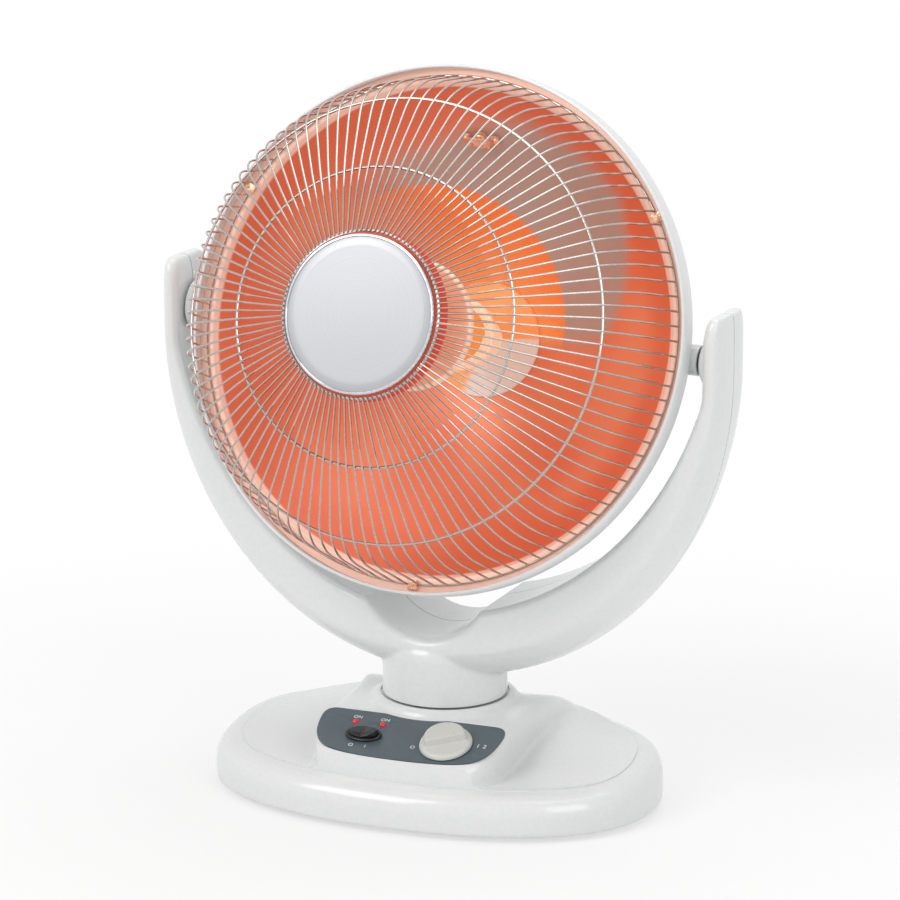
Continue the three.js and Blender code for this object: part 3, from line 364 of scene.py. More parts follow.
# zinc-plated pressed steel, with the soft clouds of the plating
zincSteel = plainFinish("zincSteel", "#9da1a4", "#b3b7ba", 4.0, 0.1, 0.02, Metallic=1.0, Roughness=0.36)
# black-painted sheet steel
paintedSteel = plainFinish("paintedSteel", "#3c3e41", "#4a4c50", 0.9, 0.25, 0.05, Metallic=0.3,
                           Roughness=0.55)
# natural acetal, slightly waxy
naturalAcetal = plainFinish("naturalAcetal", "#e2e0d6", "#e9e7df", 2.0, 0.06, 0.02, Roughness=0.45, IOR=1.48)
# screen-printed white ink
whiteInk = plainFinish("whiteInk", "#e8e9ea", "#f2f3f3", 0.5, 0.05, 0.01, Roughness=0.5)
# chrome-plated wire: bright and sharp, with drawing lines 0.8 mm apart
chromeWire = plainFinish("chromeWire", "#a9a49f", "#c2bdb8", 0.8, 0.1, 0.02, Metallic=1.0, Roughness=0.16)
# polished chrome of the bezel
brightChrome = plainFinish("brightChrome", "#c9ccd0", "#d8dbdf", 3.0, 0.04, 0.01, Metallic=1.0,
                           Roughness=0.14)


# satin anodised aluminium of the badge: turned, so fine circles 0.7 mm apart run round its middle
def makeSatinAluminium():
    material, tree, shader = newMaterial("satinAluminium", Metallic=0.45, Roughness=0.42)
    rings = turningMarks(tree, shader, headPolar(tree)[1], 0.7, 3.0, 0.12, 0.03)
    tinted(tree, shader, rings, "#b7b8bb", "#bfc0c3", 0.3, 0.7)
    return material


satinAluminium = makeSatinAluminium()

# the bowl's painted light: the element's orange glow, a bright painted glow disc, a painted grey-tan
# reflection of the room and a pale pink lip, all painted into colour and emission
bowlPaintedGlow = {
    "orange": "#d06a48", "orangeLight": "#d67c58", "deepOrange": "#c9603f",
    "glow": "#e0702f", "paintedGlowLight": "#e48b4d", "tan": "#a08a7e", "lip": "#e0b5a2",
    "paintedGlowCentre": (-33, 10, 0), "paintedGlowRadius": 96,
    "lipRadius": 174.4, "emission": 0.27,
}


# spun aluminium of the bowl, with the element's light painted into its colour and emission: a painted bright
# disc of glow lies above the middle, a painted dull grey-tan reflection of the room lies round that disc, and
# the lip is painted pale in the glow
def makeReflectorPaintedGlow():
    look = bowlPaintedGlow
    material, tree, shader = newMaterial("reflectorPaintedGlow", Metallic=0.25, Roughness=0.34,
                                         Emission_Strength=look["emission"])
    here, radius, height, angle = headPolar(tree)
    # soft clouds 90 mm across, painted reflections that change over the bowl
    clouds = addNode(tree, "TexNoise", {}, {"Scale": 1 / 90, "Detail": 1.0, "Vector": here}).outputs["Fac"]
    away = addNode(tree, "VectorMath", {"operation": "DISTANCE"},
                   {0: here, 1: look["paintedGlowCentre"]}).outputs["Value"]
    # the outer edge of the painted reflection of the room swings out and in again with the angle
    swings = []
    for low, high, start, end in ((0, 42, 96, 160), (70, 106, 164, 140)):
        swing = addNode(tree, "MapRange", {}, {"From Min": low, "From Max": high, "To Min": start,
                                               "To Max": end, "Value": angle})
        swings.append(swing.outputs["Result"])
    outer = addNode(tree, "Math", {"operation": "MINIMUM"}, dict(enumerate(swings))).outputs["Value"]
    reach = addNode(tree, "Math", {"operation": "SUBTRACT"}, {0: outer, 1: radius}).outputs["Value"]
    edge, lip = look["paintedGlowRadius"], look["lipRadius"]
    # each layer's colour, and the bounds of its mask as measure, from, to, before, after
    # the layers paint light: lighter painted reflections, a darker band towards the rim, the painted
    # reflection of the room, the painted glow disc and the pale painted lip
    layers = [
        ("orangeLight", [(clouds, 0.4, 0.66, 0, 1)]),
        ("deepOrange", [(radius, 138, 168, 0, 1)]),
        ("tan", [(reach, -8, 12, 0, 1), (angle, -6, 12, 0, 1), (angle, 100, 158, 0.95, 0)]),
        ("glow", [(away, edge - 1.5, edge + 1.5, 1, 0), (height, -6, 8, 0, 1), (angle, 112, 150, 1, 0)]),
        ("lip", [(radius, lip - 0.8, lip + 0.8, 0, 1)]),
    ]
    core = addNode(tree, "MapRange", {"interpolation_type": "SMOOTHSTEP"},
                   {"From Min": 30, "From Max": 90, "Value": radius})
    glow = addNode(tree, "Mix", {"data_type": "RGBA"},
                   {"Factor": core.outputs["Result"], 6: linear(look["paintedGlowLight"]), 7: linear(look["glow"])})
    colour = linear(look["orange"])
    for name, bounds in layers:
        mask = 1.0
        for measure, low, high, start, end in bounds:
            bound = addNode(tree, "MapRange", {"interpolation_type": "SMOOTHSTEP"},
                            {"From Min": low, "From Max": high, "To Min": start, "To Max": end,
                             "Value": measure})
            both = addNode(tree, "Math", {"operation": "MULTIPLY"}, {0: mask, 1: bound.outputs["Result"]})
            mask = both.outputs["Value"]
        over = glow.outputs[2] if name == "glow" else linear(look[name])
        layer = addNode(tree, "Mix", {"data_type": "RGBA"}, {"Factor": mask, 6: colour, 7: over})
        colour = layer.outputs[2]
    tree.links.new(colour, shader.inputs["Base Color"])
    tree.links.new(colour, shader.inputs["Emission Color"])
    turningMarks(tree, shader, radius, 1.6, 2.0, 0.1, 0.05)  # marks of the spinning tool, 1.6 mm apart
    return material


reflectorPaintedGlow = makeReflectorPaintedGlow()


# two colours by the distance from the head's axis, with the element's light painted into both as colour and
# emission
def makePaintedGlowMetal(name, inside, outside, border, glow, **values):
    material, tree, shader = newMaterial(name, Emission_Strength=glow, **values)
    radius = headPolar(tree)[1]
    share = addNode(tree, "MapRange", {}, {"From Min": border - 0.7, "From Max": border + 0.7,
                                           "Value": radius})
    colour = addNode(tree, "Mix", {"data_type": "RGBA"},
                     {"Factor": share.outputs["Result"], 6: linear(inside), 7: linear(outside)})
    for key in ("Base Color", "Emission Color"):
        tree.links.new(colour.outputs[2], shader.inputs[key])
    turningMarks(tree, shader, radius, 1.2, 2.0, 0.1, 0.04)
    return material


# pressed steel behind the badge, with the element's red light painted on as colour and emission
hubSteelPaintedGlow = makePaintedGlowMetal("hubSteelPaintedGlow", "#dc4a2c", "#d8452a", 30, 0.4, Metallic=0.3, Roughness=0.4)
# bright steel of the heat shield with a pale rolled rim, with the element's orange light painted on as colour
# and emission
shieldSteelPaintedGlow = makePaintedGlowMetal("shieldSteelPaintedGlow", "#e0946e", "#ecc4a8", 44.6, 0.32, Metallic=0.2, Roughness=0.35)


# polished aluminium at the vertex, with reflections painted on: one quarter has a painted pale reflection of
# the room, the rest the element's painted orange glow, in colour and emission
def makeVertexPaintedReflection():
    material, tree, shader = newMaterial("vertexAluminiumPaintedReflection", Metallic=0.3, Roughness=0.28,
                                         Emission_Strength=0.4)
    angle = headPolar(tree)[3]
    sides = []
    for low, high, start, end in ((3.44, 8.02, 1, 0), (-111.7, -100.3, 0, 1)):
        side = addNode(tree, "MapRange", {}, {"From Min": low, "From Max": high, "To Min": start,
                                              "To Max": end, "Value": angle})
        sides.append(side.outputs["Result"])
    paintedReflectionFan = addNode(tree, "Math", {"operation": "MULTIPLY"}, dict(enumerate(sides)))
    colour = addNode(tree, "Mix", {"data_type": "RGBA"},
                     {"Factor": paintedReflectionFan.outputs["Value"], 6: linear("#ea8a4c"), 7: linear("#c9bab0")})
    for key in ("Base Color", "Emission Color"):
        tree.links.new(colour.outputs[2], shader.inputs[key])
    relief(tree, shader, {}, {"Scale": 1 / 9, "Vector": headCoordinates(tree)}, 0.1, 0.05)
    return material


vertexAluminiumPaintedReflection = makeVertexPaintedReflection()


# a grainy colour that also glows: painted glow for pieces lit by the element, real glow for the hot coil and
# the lamp's lens
def litFinish(name, dark, light, size, glow, **values):
    material, tree, shader = newMaterial(name, Emission_Strength=glow, **values)
    ramp = tinted(tree, shader, grain(tree, shader, size, 0.2, 0.05), dark, light)
    tree.links.new(ramp.outputs["Color"], shader.inputs["Emission Color"])
    return material


# steatite, unglazed and slightly grainy, with the element's light painted on as colour and emission
steatitePaintedGlow = litFinish("steatitePaintedGlow", "#ecc9a4", "#f3dcc0", 1.5, 0.35, Roughness=0.7)
# resistance wire at working heat
glowingWire = litFinish("glowingWire", "#e8722a", "#ee8a3c", 1.0, 0.7, Roughness=0.6)
# clear red polycarbonate over a small lamp
redLens = litFinish("redLens", "#c8141e", "#de2430", 0.8, 0.35, Roughness=0.18, IOR=1.58)
# steel of the small brackets inside the bowl, with the bowl's warm light painted on as colour and emission
steelPaintedGlow = litFinish("steelPaintedGlow", "#c98a68", "#e8c0a4", 2.0, 0.12, Metallic=0.6, Roughness=0.3)
print("materials made")


def finish(obj, material, slot, body, *nodes):
    obj.data.materials.clear()
    obj.data.materials.append(material)
    if nodes:
        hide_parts(*nodes)
    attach(obj, body)
    return obj


base = {
    "halfLength": 166, "halfDepth": 108, "centreY": -12.8, "power": 2.27, "count": 160,
    "shoulder": 34, "wingRise": 7, "rearLift": 1.27, "wallFoot": 8, "wall": 2.6,
    "shoulderLine": [(1.2, 4), (0.35, 5), (0, 6.6), (0, 12), (0, 17), (0.4, 20.8), (1.6, 24.5), (3.4, 27.7),
                     (6, 30.2), (10, 32.2), (14.5, 33.1), (18.6, 33.3)],
    "stepInset": 18.6,
    "footX": 109.5, "footY": 57, "voxel": 1.5, "smoothing": 4,
}


def rearRise(y):
    return mix(1, base["rearLift"], smoothStep((y + 60) / 110))


def wingHeight(x, y):
    back = smoothStep((y + 85) / 120)
    reach = base["halfLength"] - 20
    inward = smoothStep((reach - abs(x)) / (reach - console["halfWidth"]))
    return base["shoulder"] * rearRise(y) + base["wingRise"] * back * inward


def baseOutline(inset, count):
    points = []
    for i in range(count):
        angle = 2 * math.pi * i / count
        c, s = math.cos(angle), math.sin(angle)
        x = math.copysign(abs(c) ** (2 / base["power"]), c) * (base["halfLength"] - inset)
        y = math.copysign(abs(s) ** (2 / base["power"]), s) * (base["halfDepth"] - inset)
        points.append((x, y + base["centreY"]))
    return points


def baseRing(inset, height, count):
    return [(x, y, height(x, y)) for x, y in baseOutline(inset, count)]


def wallLevel(z):
    return lambda x, y: z * rearRise(y) if z > base["wallFoot"] else z


def baseBody():
    count = base["count"]
    rings = [baseRing(side, wallLevel(z + (1.4 if side > 10 else 0)), count)
             for side, z in base["shoulderLine"]]
    for inset in (19.5, 24, 32, 42, 54, 66, 80, 94):
        rings.append(baseRing(inset, wingHeight, count))
    return lofted("baseBody", rings)


# everything that stands above the finished shoulder, outside the small step
def stepTool():
    count = base["count"]
    line = [p for p in base["shoulderLine"] if p[0] > 3]
    rings = [baseRing(side, wallLevel(z), count) for side, z in line]
    rings.append(baseRing(base["stepInset"] + 0.5, wallLevel(60), count))
    rings.append(baseRing(-6, wallLevel(60), count))
    rings.append(baseRing(-6, wallLevel(line[0][1]), count))
    return lofted("stepTool", rings, loop=True)


console = {
    "height": 67, "halfWidth": 71, "root": 20, "frontY": -109, "backY": 84, "backDrop": 22, "count": 200,
    "draft": [(0, 20), (0.15, 15), (0.5, 11), (0.9, 8), (1.6, 5.2), (2.6, 3.2), (4.2, 1.5), (6.6, 0.45),
              (9, 0.05)],
}


def consoleTop(x, y):
    front = console["height"] + min(y - panelTopY, 0) * math.tan(math.radians(panelSlope))
    back = console["backDrop"] * smoothStep((y - 25) / (console["backY"] - 25))
    flare = 0.55 * max(abs(x) - console["halfWidth"] - 5, 0)
    return front - back - flare


# a closed centripetal spline through the corners, the way the CAD draws its plan
def consoleOutline(inset, count):
    w, front, rear = console["halfWidth"], console["frontY"], console["backY"]
    half = [(0, front), (34, front + 1.5), (56, front + 9), (67, front + 24), (w - 1, front + 42),
            (w + 1, -30), (w + 4, 12), (w + 12, 48), (w + 20, 66), (62, rear - 6), (30, rear - 1), (0, rear)]
    corners = [Vector(p) for p in half + [(-x, y) for x, y in half[-2:0:-1]]]
    spans = len(corners)

    def pointAt(share):
        along = share * spans
        k = int(along) % spans
        t = along - int(along)
        p0, p1, p2, p3 = (corners[(k + i - 1) % spans] for i in range(4))
        d0, d1, d2 = ((a - b).length ** 0.5 for a, b in ((p1, p0), (p2, p1), (p3, p2)))
        t1 = ((p1 - p0) / d0 - (p2 - p0) / (d0 + d1) + (p2 - p1) / d1) * d1
        t2 = ((p2 - p1) / d1 - (p3 - p1) / (d1 + d2) + (p3 - p2) / d2) * d1
        c2 = -3 * p1 + 3 * p2 - 2 * t1 - t2
        c3 = 2 * p1 - 2 * p2 + t1 + t2
        return p1 + t1 * t + c2 * t * t + c3 * t ** 3

    points = []
    for i in range(count):
        here = pointAt(i / count)
        along = (pointAt((i + 0.01) / count) - here).normalized()
        points.append((here.x - along.y * inset, here.y + along.x * inset))
    return points


def consoleBody(inset, drop, count, draft):
    root = console["root"]
    rings = [[(x, y, root) for x, y in consoleOutline(inset - 2, count)]]
    for side, below in draft:
        rings.append([(x, y, max(consoleTop(x, y) - below - drop, root))
                      for x, y in consoleOutline(inset + side, count)])
    rim = consoleOutline(inset + 9, count)
    for share in (0.9, 0.8, 0.65, 0.5, 0.35, 0.2, 0.08):
        ring = [(x * share, mix(panelTopY, y, share)) for x, y in rim]
        rings.append([(x, y, consoleTop(x, y) - drop) for x, y in ring])
    return lofted("consoleBody", rings)


collar = {"radius": 54, "top": 71.4, "floor": 70.4, "neckRadius": 45.2, "bearing": 30.4}

panel = {
    "halfLength": 70, "top": 1, "depth": 50.7, "notch": 3.2, "recess": 1.4, "thickness": 1.5, "gap": 0.4,
    "lights": (-42.7, -21.7), "lightDown": 14.4, "lightRadius": 2.1,
    "rockerX": -31, "rockerDown": 28.2, "rockerHalfLength": 10.9, "rockerHalfWidth": 5.4,
    "knobX": 32, "knobDown": 27.6, "shaftRadius": 3,
}
panelFace = panel["thickness"] + panel["gap"] - panel["recess"]


def curved(start, *controls, steps=8):
    points = [Vector(start)] + [Vector(c) for c in controls]
    out = []
    for i in range(1, steps + 1):
        t = i / steps
        level = points
        while len(level) > 1:
            level = [a * (1 - t) + b * t for a, b in zip(level, level[1:])]
        out.append(tuple(level[0]))
    return out


def panelOutline(margin):
    half, top, bottom = panel["halfLength"] + margin, margin - panel["top"], -panel["depth"] - margin
    notch = 24
    line = [(-notch, top)]
    line += curved(line[-1], (0, top - 2 * panel["notch"]), (notch, top))
    line.append((half - 10, top))
    line += curved(line[-1], (half, top), (half, top - 10))
    line += curved(line[-1], (half - 0.5, -26), (half - 4, -38), (half - 14, bottom + 7.5))
    line += curved(line[-1], (half - 24, bottom + 1.5), (half - 44, bottom), (0, bottom))
    line += curved(line[-1], (44 - half, bottom), (24 - half, bottom + 1.5), (14 - half, bottom + 7.5))
    line += curved(line[-1], (4 - half, -38), (0.5 - half, -26), (-half, top - 10))
    line += curved(line[-1], (-half, top), (10 - half, top))
    return line[::-1]


# the rocker's window, the knob's hole and the two lights', made one by one
def panelHoles(shaftRoom, lightRoom, low, high=4):
    window = oval(panel["rockerHalfLength"] + 2.2, panel["rockerHalfWidth"] + 2.2, 40,
                  (panel["rockerX"], -panel["rockerDown"]))
    yield plate("rockerWindow", window, low, high, onPanel)
    places = [(panel["shaftRadius"] + shaftRoom, panel["knobX"], panel["knobDown"])]
    places += [(panel["lightRadius"] + lightRoom, x, panel["lightDown"]) for x in panel["lights"]]
    for radius, x, down in places:
        yield spun("hole", [(0, low), (radius, low), (radius, high), (0, high)], 24, onPanel @ at(x, -down))


def makeBaseCover():
    ring = [(collar["bearing"] - 4, 56), (collar["radius"] + 1.4, 56), (collar["radius"] + 0.3, 66),
            (collar["radius"] - 1.2, 69.2), (collar["radius"] - 3.4, 71.2),
            (collar["neckRadius"] + 1.4, 71.7),
            (collar["neckRadius"] - 2, 71.4), (collar["bearing"] - 4, 71.4), (collar["bearing"] - 4, 56)]
    cover = joined(baseBody(), consoleBody(0, 0, console["count"], console["draft"]),
                   spun("collarRing", softened(ring, 1.5), 96))
    nameIt(cover, "baseCover")
    melted(cover, base["voxel"], base["smoothing"])
    carved(cover, stepTool())
    count = 90
    hollowLine = [(1.2, 3), (0, 8), (0, 17), (1.6, 23), (6, 28.6), (12, 31)]
    rings = [baseRing(base["wall"] + side, wallLevel(z - base["wall"] if z > 8 else z), count)
             for side, z in hollowLine]
    for inset in (24, 50, 80):
        rings.append(baseRing(inset, lambda x, y: wingHeight(x, y) - base["wall"], count))
    hollow = lofted("hollow", rings)
    carved(hollow, consoleBody(base["wall"], base["wall"], count, [(1, 12), (3, 5), (7, 1.5)]), "UNION")
    tube = [(collar["bearing"], 48), (collar["bearing"] + 6, 48), (collar["bearing"] + 6, 90),
            (collar["bearing"], 90), (collar["bearing"], 48)]
    carved(hollow, spun("bearingWall", tube, 64))
    carved(cover, hollow)
    settle(cover, standing)
    recess = plate("recess", panelOutline(panel["gap"]), -panel["recess"], 9, onPanel)
    for tool in panelHoles(2.5, 0.6, -20):
        carved(recess, tool, "UNION")
    carved(cover, recess)
    seat = [(0, 40), (collar["bearing"], 40), (collar["bearing"], collar["floor"]),
            (collar["neckRadius"] + 1.6, collar["floor"]), (collar["neckRadius"] + 1.9, 90), (0, 90)]
    carved(cover, spun("neckSeat", seat, 96, standing))
    cordHole = spun("cordHole", [(0, -15), (5.9, -15), (5.9, 15), (0, 15)], 32,
                    standing @ at(0, 95.2, 15) @ turned(90, "X"))
    carved(cover, cordHole)
    smoothShade(cover, 30)
    return finish(cover, glossyAbs, "white", "base", "base_cover")


makeBaseCover()
print("base cover made")


def makePanel():
    sheet = plate("controlPanel", panelOutline(0), panel["gap"] - panel["recess"], panelFace, onPanel)
    for tool in panelHoles(1.5, 0.3, -4):
        carved(sheet, tool)
    applied(sheet, "BEVEL", width=0.25 * mm, segments=2, limit_method="ANGLE", angle_limit=math.radians(50))
    smoothShade(sheet, 30)
    finish(sheet, panelPolycarbonate, "panel", "base", "control_panel")
    for name, x in zip(("left", "right"), panel["lights"]):
        r = panel["lightRadius"]
        dome = [(0, -6), (r, -6), (r, panelFace + 0.4), (r * 0.86, panelFace + 0.95),
                (r * 0.5, panelFace + 1.35),
                (0, panelFace + 1.5)]
        lens = spun("indicatorLens_" + name, dome, 24,
                    onPanel @ at(x, -panel["lightDown"]))
        finish(lens, redLens, "red", "base", "indicator_lens_" + name)


makePanel()

rocker = {"gap": 0.8, "wall": 1, "tilt": 8, "valley": 2.2, "end": 3.8, "root": -4}


def makeRocker():
    centre = onPanel @ at(panel["rockerX"], -panel["rockerDown"])
    length, width = panel["rockerHalfLength"], panel["rockerHalfWidth"]
    outer = rocker["gap"] + rocker["wall"]
    seat = panelFace + panel["gap"]
    bezel = plate("rockerBezel", oval(length + outer + 1, width + outer + 1, 64), seat, seat + 1.5, centre,
                  0.7)
    carved(bezel, plate("barrel", oval(length + outer, width + outer, 64), -8, seat + 0.5, centre), "UNION")
    carved(bezel, plate("bore", oval(length + rocker["gap"], width + rocker["gap"], 64), -9, 9, centre))
    smoothShade(bezel, 30)
    finish(bezel, blackNylon, "black", "base", "rocker_bezel")
    root, end, valley = rocker["root"], rocker["end"], rocker["valley"]
    side = [(-length, root), (length, root), (length, end), (0, valley), (-length, end)]
    key = plate("oscillationRocker", side, -10, 10, turned(90, "X"))
    carved(key, plate("rockerRim", oval(length, width, 64), root - 1, end + 1), "INTERSECT")
    applied(key, "BEVEL", width=0.5 * mm, segments=3, limit_method="ANGLE", angle_limit=math.radians(28))
    smoothShade(key, 25)
    settle(key, centre @ at(0, 0, panelFace + 0.6) @ turned(-rocker["tilt"], "Y"))
    finish(key, blackNylon, "black", "oscillation_rocker", "oscillation_rocker")


makeRocker()

knob = {"radius": 19.3, "height": 9.5, "turn": 28, "voxel": 0.4, "smoothing": 4}


def makeKnob():
    low = panelFace + panel["gap"]
    high = low + knob["height"]
    r = knob["radius"]
    skirt = spun("powerKnob", [(0, low), (r - 0.2, low), (r, low + 0.4), (r - 0.4, low + 2.0),
                               (r - 1.1, low + 3.0),
                               (r - 2.6, low + 3.7), (0, low + 3.7)], 96)
    crown = spun("crown", [(0, low + 3), (r - 3.9, low + 3), (r - 4.2, high - 1.6), (r - 4.8, high - 0.6),
                           (r - 6, high), (0, high)], 96)
    flank = block("flank", (50, 20, 40), (0, -15, low + 10), turned(-8, "X"))
    carved(crown, flank)
    body = joined(skirt, crown)
    melted(body, knob["voxel"], knob["smoothing"])
    pocket = spun("pocket", [(0, low - 2), (panel["shaftRadius"] + 0.4, low - 2),
                             (panel["shaftRadius"] + 0.4, low + 6), (0, low + 6)], 24)
    carved(body, pocket)
    smoothShade(body, 50)
    settle(body, onPanel @ at(panel["knobX"], -panel["knobDown"]) @ turned(knob["turn"], "Z"))
    finish(body, knobAbs, "knob", "knob", "power_knob")


makeKnob()

# plain marks, printed on the panel: O and I at the rocker, numbers at the dial, ON at the lights
marks = {"lights": [("ON", -42.7, 8.9, 4.4), ("ON", -21.7, 8.9, 4.4)],
         "rocker": [("O", -36.5, 40.6, 4.6), ("I", -25.5, 40.6, 4.6)],
         "dial": [("1", 55.4, 24.6, 5.6), ("2", 60.4, 24.6, 5.6), ("O", 9.0, 35.0, 4.6)], "ink": 0.06}


def makeMarks():
    letters = []
    for text, x, down, size in marks["lights"] + marks["rocker"] + marks["dial"]:
        deselectAll()
        bpy.ops.object.text_add()
        mark = bpy.context.object
        mark.data.body, mark.data.size = text, size * mm
        mark.data.align_x, mark.data.align_y = "CENTER", "CENTER"
        mark.data.extrude, mark.data.resolution_u = marks["ink"] * mm, 6
        bpy.ops.object.convert(target="MESH")
        mark = bpy.context.object
        settle(mark, onPanel @ at(x, -down, panelFace + 0.03))
        letters.append(mark)
    sheet = nameIt(joined(*letters), "panelMarks")
    finish(sheet, whiteInk, "white", "base")


makeMarks()


def makeFeet():
    ring = softened([(0, 0), (8.6, 0), (10, 1.4), (10, 4.6), (0, 4.6)], 0.8, 3)
    for side, x, y in (("front_left", -1, -1), ("front_right", 1, -1), ("back_left", -1, 1),
                       ("back_right", 1, 1)):
        place = standing @ at(x * base["footX"], base["centreY"] + y * base["footY"])
        finish(spun("foot_" + side + "_rubber", ring, 48, place), footRubber, "rubber", "base",
               "foot_" + side)
    inlet = [(3.4, -5), (5.5, -5), (5.5, 2.6), (8.1, 2.6), (8.1, 3.4), (7.2, 5.2), (6.2, 6), (3.4, 6),
             (3.4, -5)]
    place = standing @ at(0, base["centreY"] + base["halfDepth"] + 0.4, 15) @ turned(-90, "X")
    finish(spun("cordInlet", inlet, 40, place), blackNylon, "black", "base", "cord_inlet")


makeFeet()
print("controls and feet made")

yoke = {
    "halfSpan": 217.85, "centreZ": 330, "drop": 245, "topZ": 374.5, "capHeight": 20, "topFall": 1,
    "topOuter": 1.5,
    "topInner": 5, "topDome": 8, "thickTop": 14, "thickBottom": 57, "frontTop": 28, "frontBottom": 50,
    "backTop": 28, "backBottom": 38, "wall": 2.6, "scoopRadius": 49, "scoopFloor": 122, "scoopBevel": 6,
    "neckRadius": 45.2, "neckBottom": 72.6, "spare": 6, "voxel": 1.5, "smoothing": 3, "seamGap": 0.45,
    "bushNeck": 8.4,
}


def yokeStations(capCount, bendCount):
    stations = []
    for i in range(capCount + 1):
        angle = i / capCount * math.pi / 2
        z = yoke["topZ"] - yoke["capHeight"] * (1 - math.sin(angle))
        stations.append({"x": yoke["halfSpan"], "z": z, "nx": -1, "nz": 0, "turn": 0,
                         "cap": 1 - math.cos(angle)})
    left = [dict(s, x=-s["x"], nx=1) for s in stations]
    straight = 0.07
    bend = []
    for i in range(bendCount + 1):
        angle = i / bendCount * math.pi
        x = yoke["halfSpan"] * math.cos(angle)
        z = yoke["centreZ"] - yoke["drop"] * math.sin(angle)
        normal = Vector((-x / yoke["halfSpan"] ** 2, (yoke["centreZ"] - z) / yoke["drop"] ** 2)).normalized()
        turn = max(math.sin(angle) - straight, 0) / (1 - straight)
        bend.append({"x": x, "z": z, "nx": normal.x, "nz": normal.y, "turn": turn, "cap": 0})
    return left[::-1] + bend[::-1] + stations


def yokeSection(station, side, count):
    turn, cap = station["turn"], station["cap"]
    names = ("frontTop", "frontBottom") if side < 0 else ("backTop", "backBottom")
    reach = mix(yoke[names[0]], yoke[names[1]], turn)
    near = yoke["topOuter"] * cap
    deep = mix(yoke["thickTop"], yoke["thickBottom"], turn) - yoke["topInner"] * cap
    wide = reach - yoke["topDome"] * cap
    half = mix(near, deep, 0.5)
    power = mix(0.8, 1.15, turn)
    section = [(near, 0)]
    for i in range(1, count + 1):
        angle = i / count * math.pi / 2
        section.append((half - (half - near) * max(math.cos(angle), 0) ** power,
                        max(wide * math.sin(angle) ** power, 1)))
    edge = min(3.5, (deep - half) * 0.6)
    section += [(mix(half, deep - edge, 0.5), wide), (deep - edge, wide), (deep, wide - edge),
                (deep, wide * 0.5)]
    return section


def yokeBody():
    rings = []
    for s in yokeStations(8, 110):
        front = yokeSection(s, -1, 12)
        rear = yokeSection(s, 1, 12)
        loop = [(depth, -across) for depth, across in front]
        loop += [(depth, across) for depth, across in rear[:0:-1]]
        ring = []
        for depth, across in loop:
            fall = s["cap"] * yoke["topFall"] * (1 + across / yoke["backTop"])
            ring.append((s["x"] + s["nx"] * depth, seamY + across, s["z"] + s["nz"] * depth - fall))
        rings.append(ring)
    return lofted("yokeBody", rings)


def lyingOn(axis):
    return turned(90, "X" if axis == "Y" else "Y")


def mirrored(side):
    return Matrix.Scale(side, 4, (1, 0, 0))


def makeYoke():
    body = yokeBody()
    r, bevel = yoke["scoopRadius"], yoke["scoopBevel"]
    centre = at(0, 0, yoke["scoopFloor"] + r)
    front = seamY - yoke["frontBottom"]
    # the scoop runs front to back, with a rolled lip at its front
    line = [(0, -90), (r, -90), (r, -front - bevel * 1.2), (r + bevel * 0.3, -front - bevel * 0.45),
            (r + bevel, -front + 0.2), (r + bevel, -front + 14), (0, -front + 14)]
    carved(body, spun("scoop", line, 96, centre @ lyingOn("Y")))
    foot = yoke["neckBottom"] - yoke["spare"]
    neck = [(0, foot), (yoke["neckRadius"], foot), (yoke["neckRadius"], 107),
            (yoke["neckRadius"] - 1.2, 111), (yoke["neckRadius"] - 4, 114.4), (yoke["neckRadius"] - 9, 116),
            (0, 116)]
    body = joined(body, spun("neck", neck, 120))
    nameIt(body, "yokeBody")
    melted(body, yoke["voxel"], yoke["smoothing"])
    # the spare length at the neck's foot goes, so that its edge is crisp
    carved(body, block("spareFoot", (120, 120, 20), (0, 0, yoke["neckBottom"] - 10)))
    bore = [(0, 60), (yoke["neckRadius"] - yoke["wall"], 60), (yoke["neckRadius"] - yoke["wall"], 104),
            (yoke["neckRadius"] - 8.6, 111), (0, 111)]
    bore = spun("neckBore", bore, 72)
    for side in (-1, 1):
        bush = [(0, 201), (yoke["bushNeck"], 201), (yoke["bushNeck"], 215.2), (0, 215.2)]
        bush = spun("bushHole", bush, 32, at(0, seamY, pivotHeight) @ mirrored(side) @ lyingOn("X"))
        bore = joined(bore, bush)
    carved(body, facingOut(bore))
    for side, name, node in ((-1, "yokeFrontShell", "yoke_front_shell"),
                             (1, "yokeBackShell", "yoke_back_shell")):
        shell = copied(body, name)
        editAll(shell)
        level = (seamY + side * yoke["seamGap"]) * mm
        bpy.ops.mesh.bisect(plane_co=(0, level, 0), plane_no=(0, side, 0), use_fill=True, clear_inner=True)
        bpy.ops.object.mode_set(mode="OBJECT")
        smoothShade(shell, 40)
        settle(shell, panned)
        finish(shell, glossyAbs, "white", "yoke", node)
    bpy.data.objects.remove(body)


makeYoke()
print("yoke made")

bush = {"radius": 18, "neck": 8, "bore": 3.4, "start": 196}


def makeBushes():
    inner = yoke["halfSpan"] - yoke["thickTop"] - 2.2
    start, end = bush["start"], yoke["halfSpan"] - yoke["wall"] - 1
    r, bore = bush["radius"], bush["bore"]
    line = [(bore, start), (r - 6, start), (r - 3.4, start + 0.8), (r - 1.4, start + 2.4),
            (r - 0.4, start + 4.2),
            (r, inner - 0.4), (r - 0.3, inner), (bush["neck"], inner), (bush["neck"], end), (bore, end),
            (bore, start)]
    for name, side in (("left", -1), ("right", 1)):
        place = panned @ at(0, seamY, pivotHeight) @ turned(90 * side, "Y")
        finish(spun("pivotBush_" + name, line, 64, place), glossyAbs, "white", "yoke", "pivot_bush_" + name)


makeBushes()

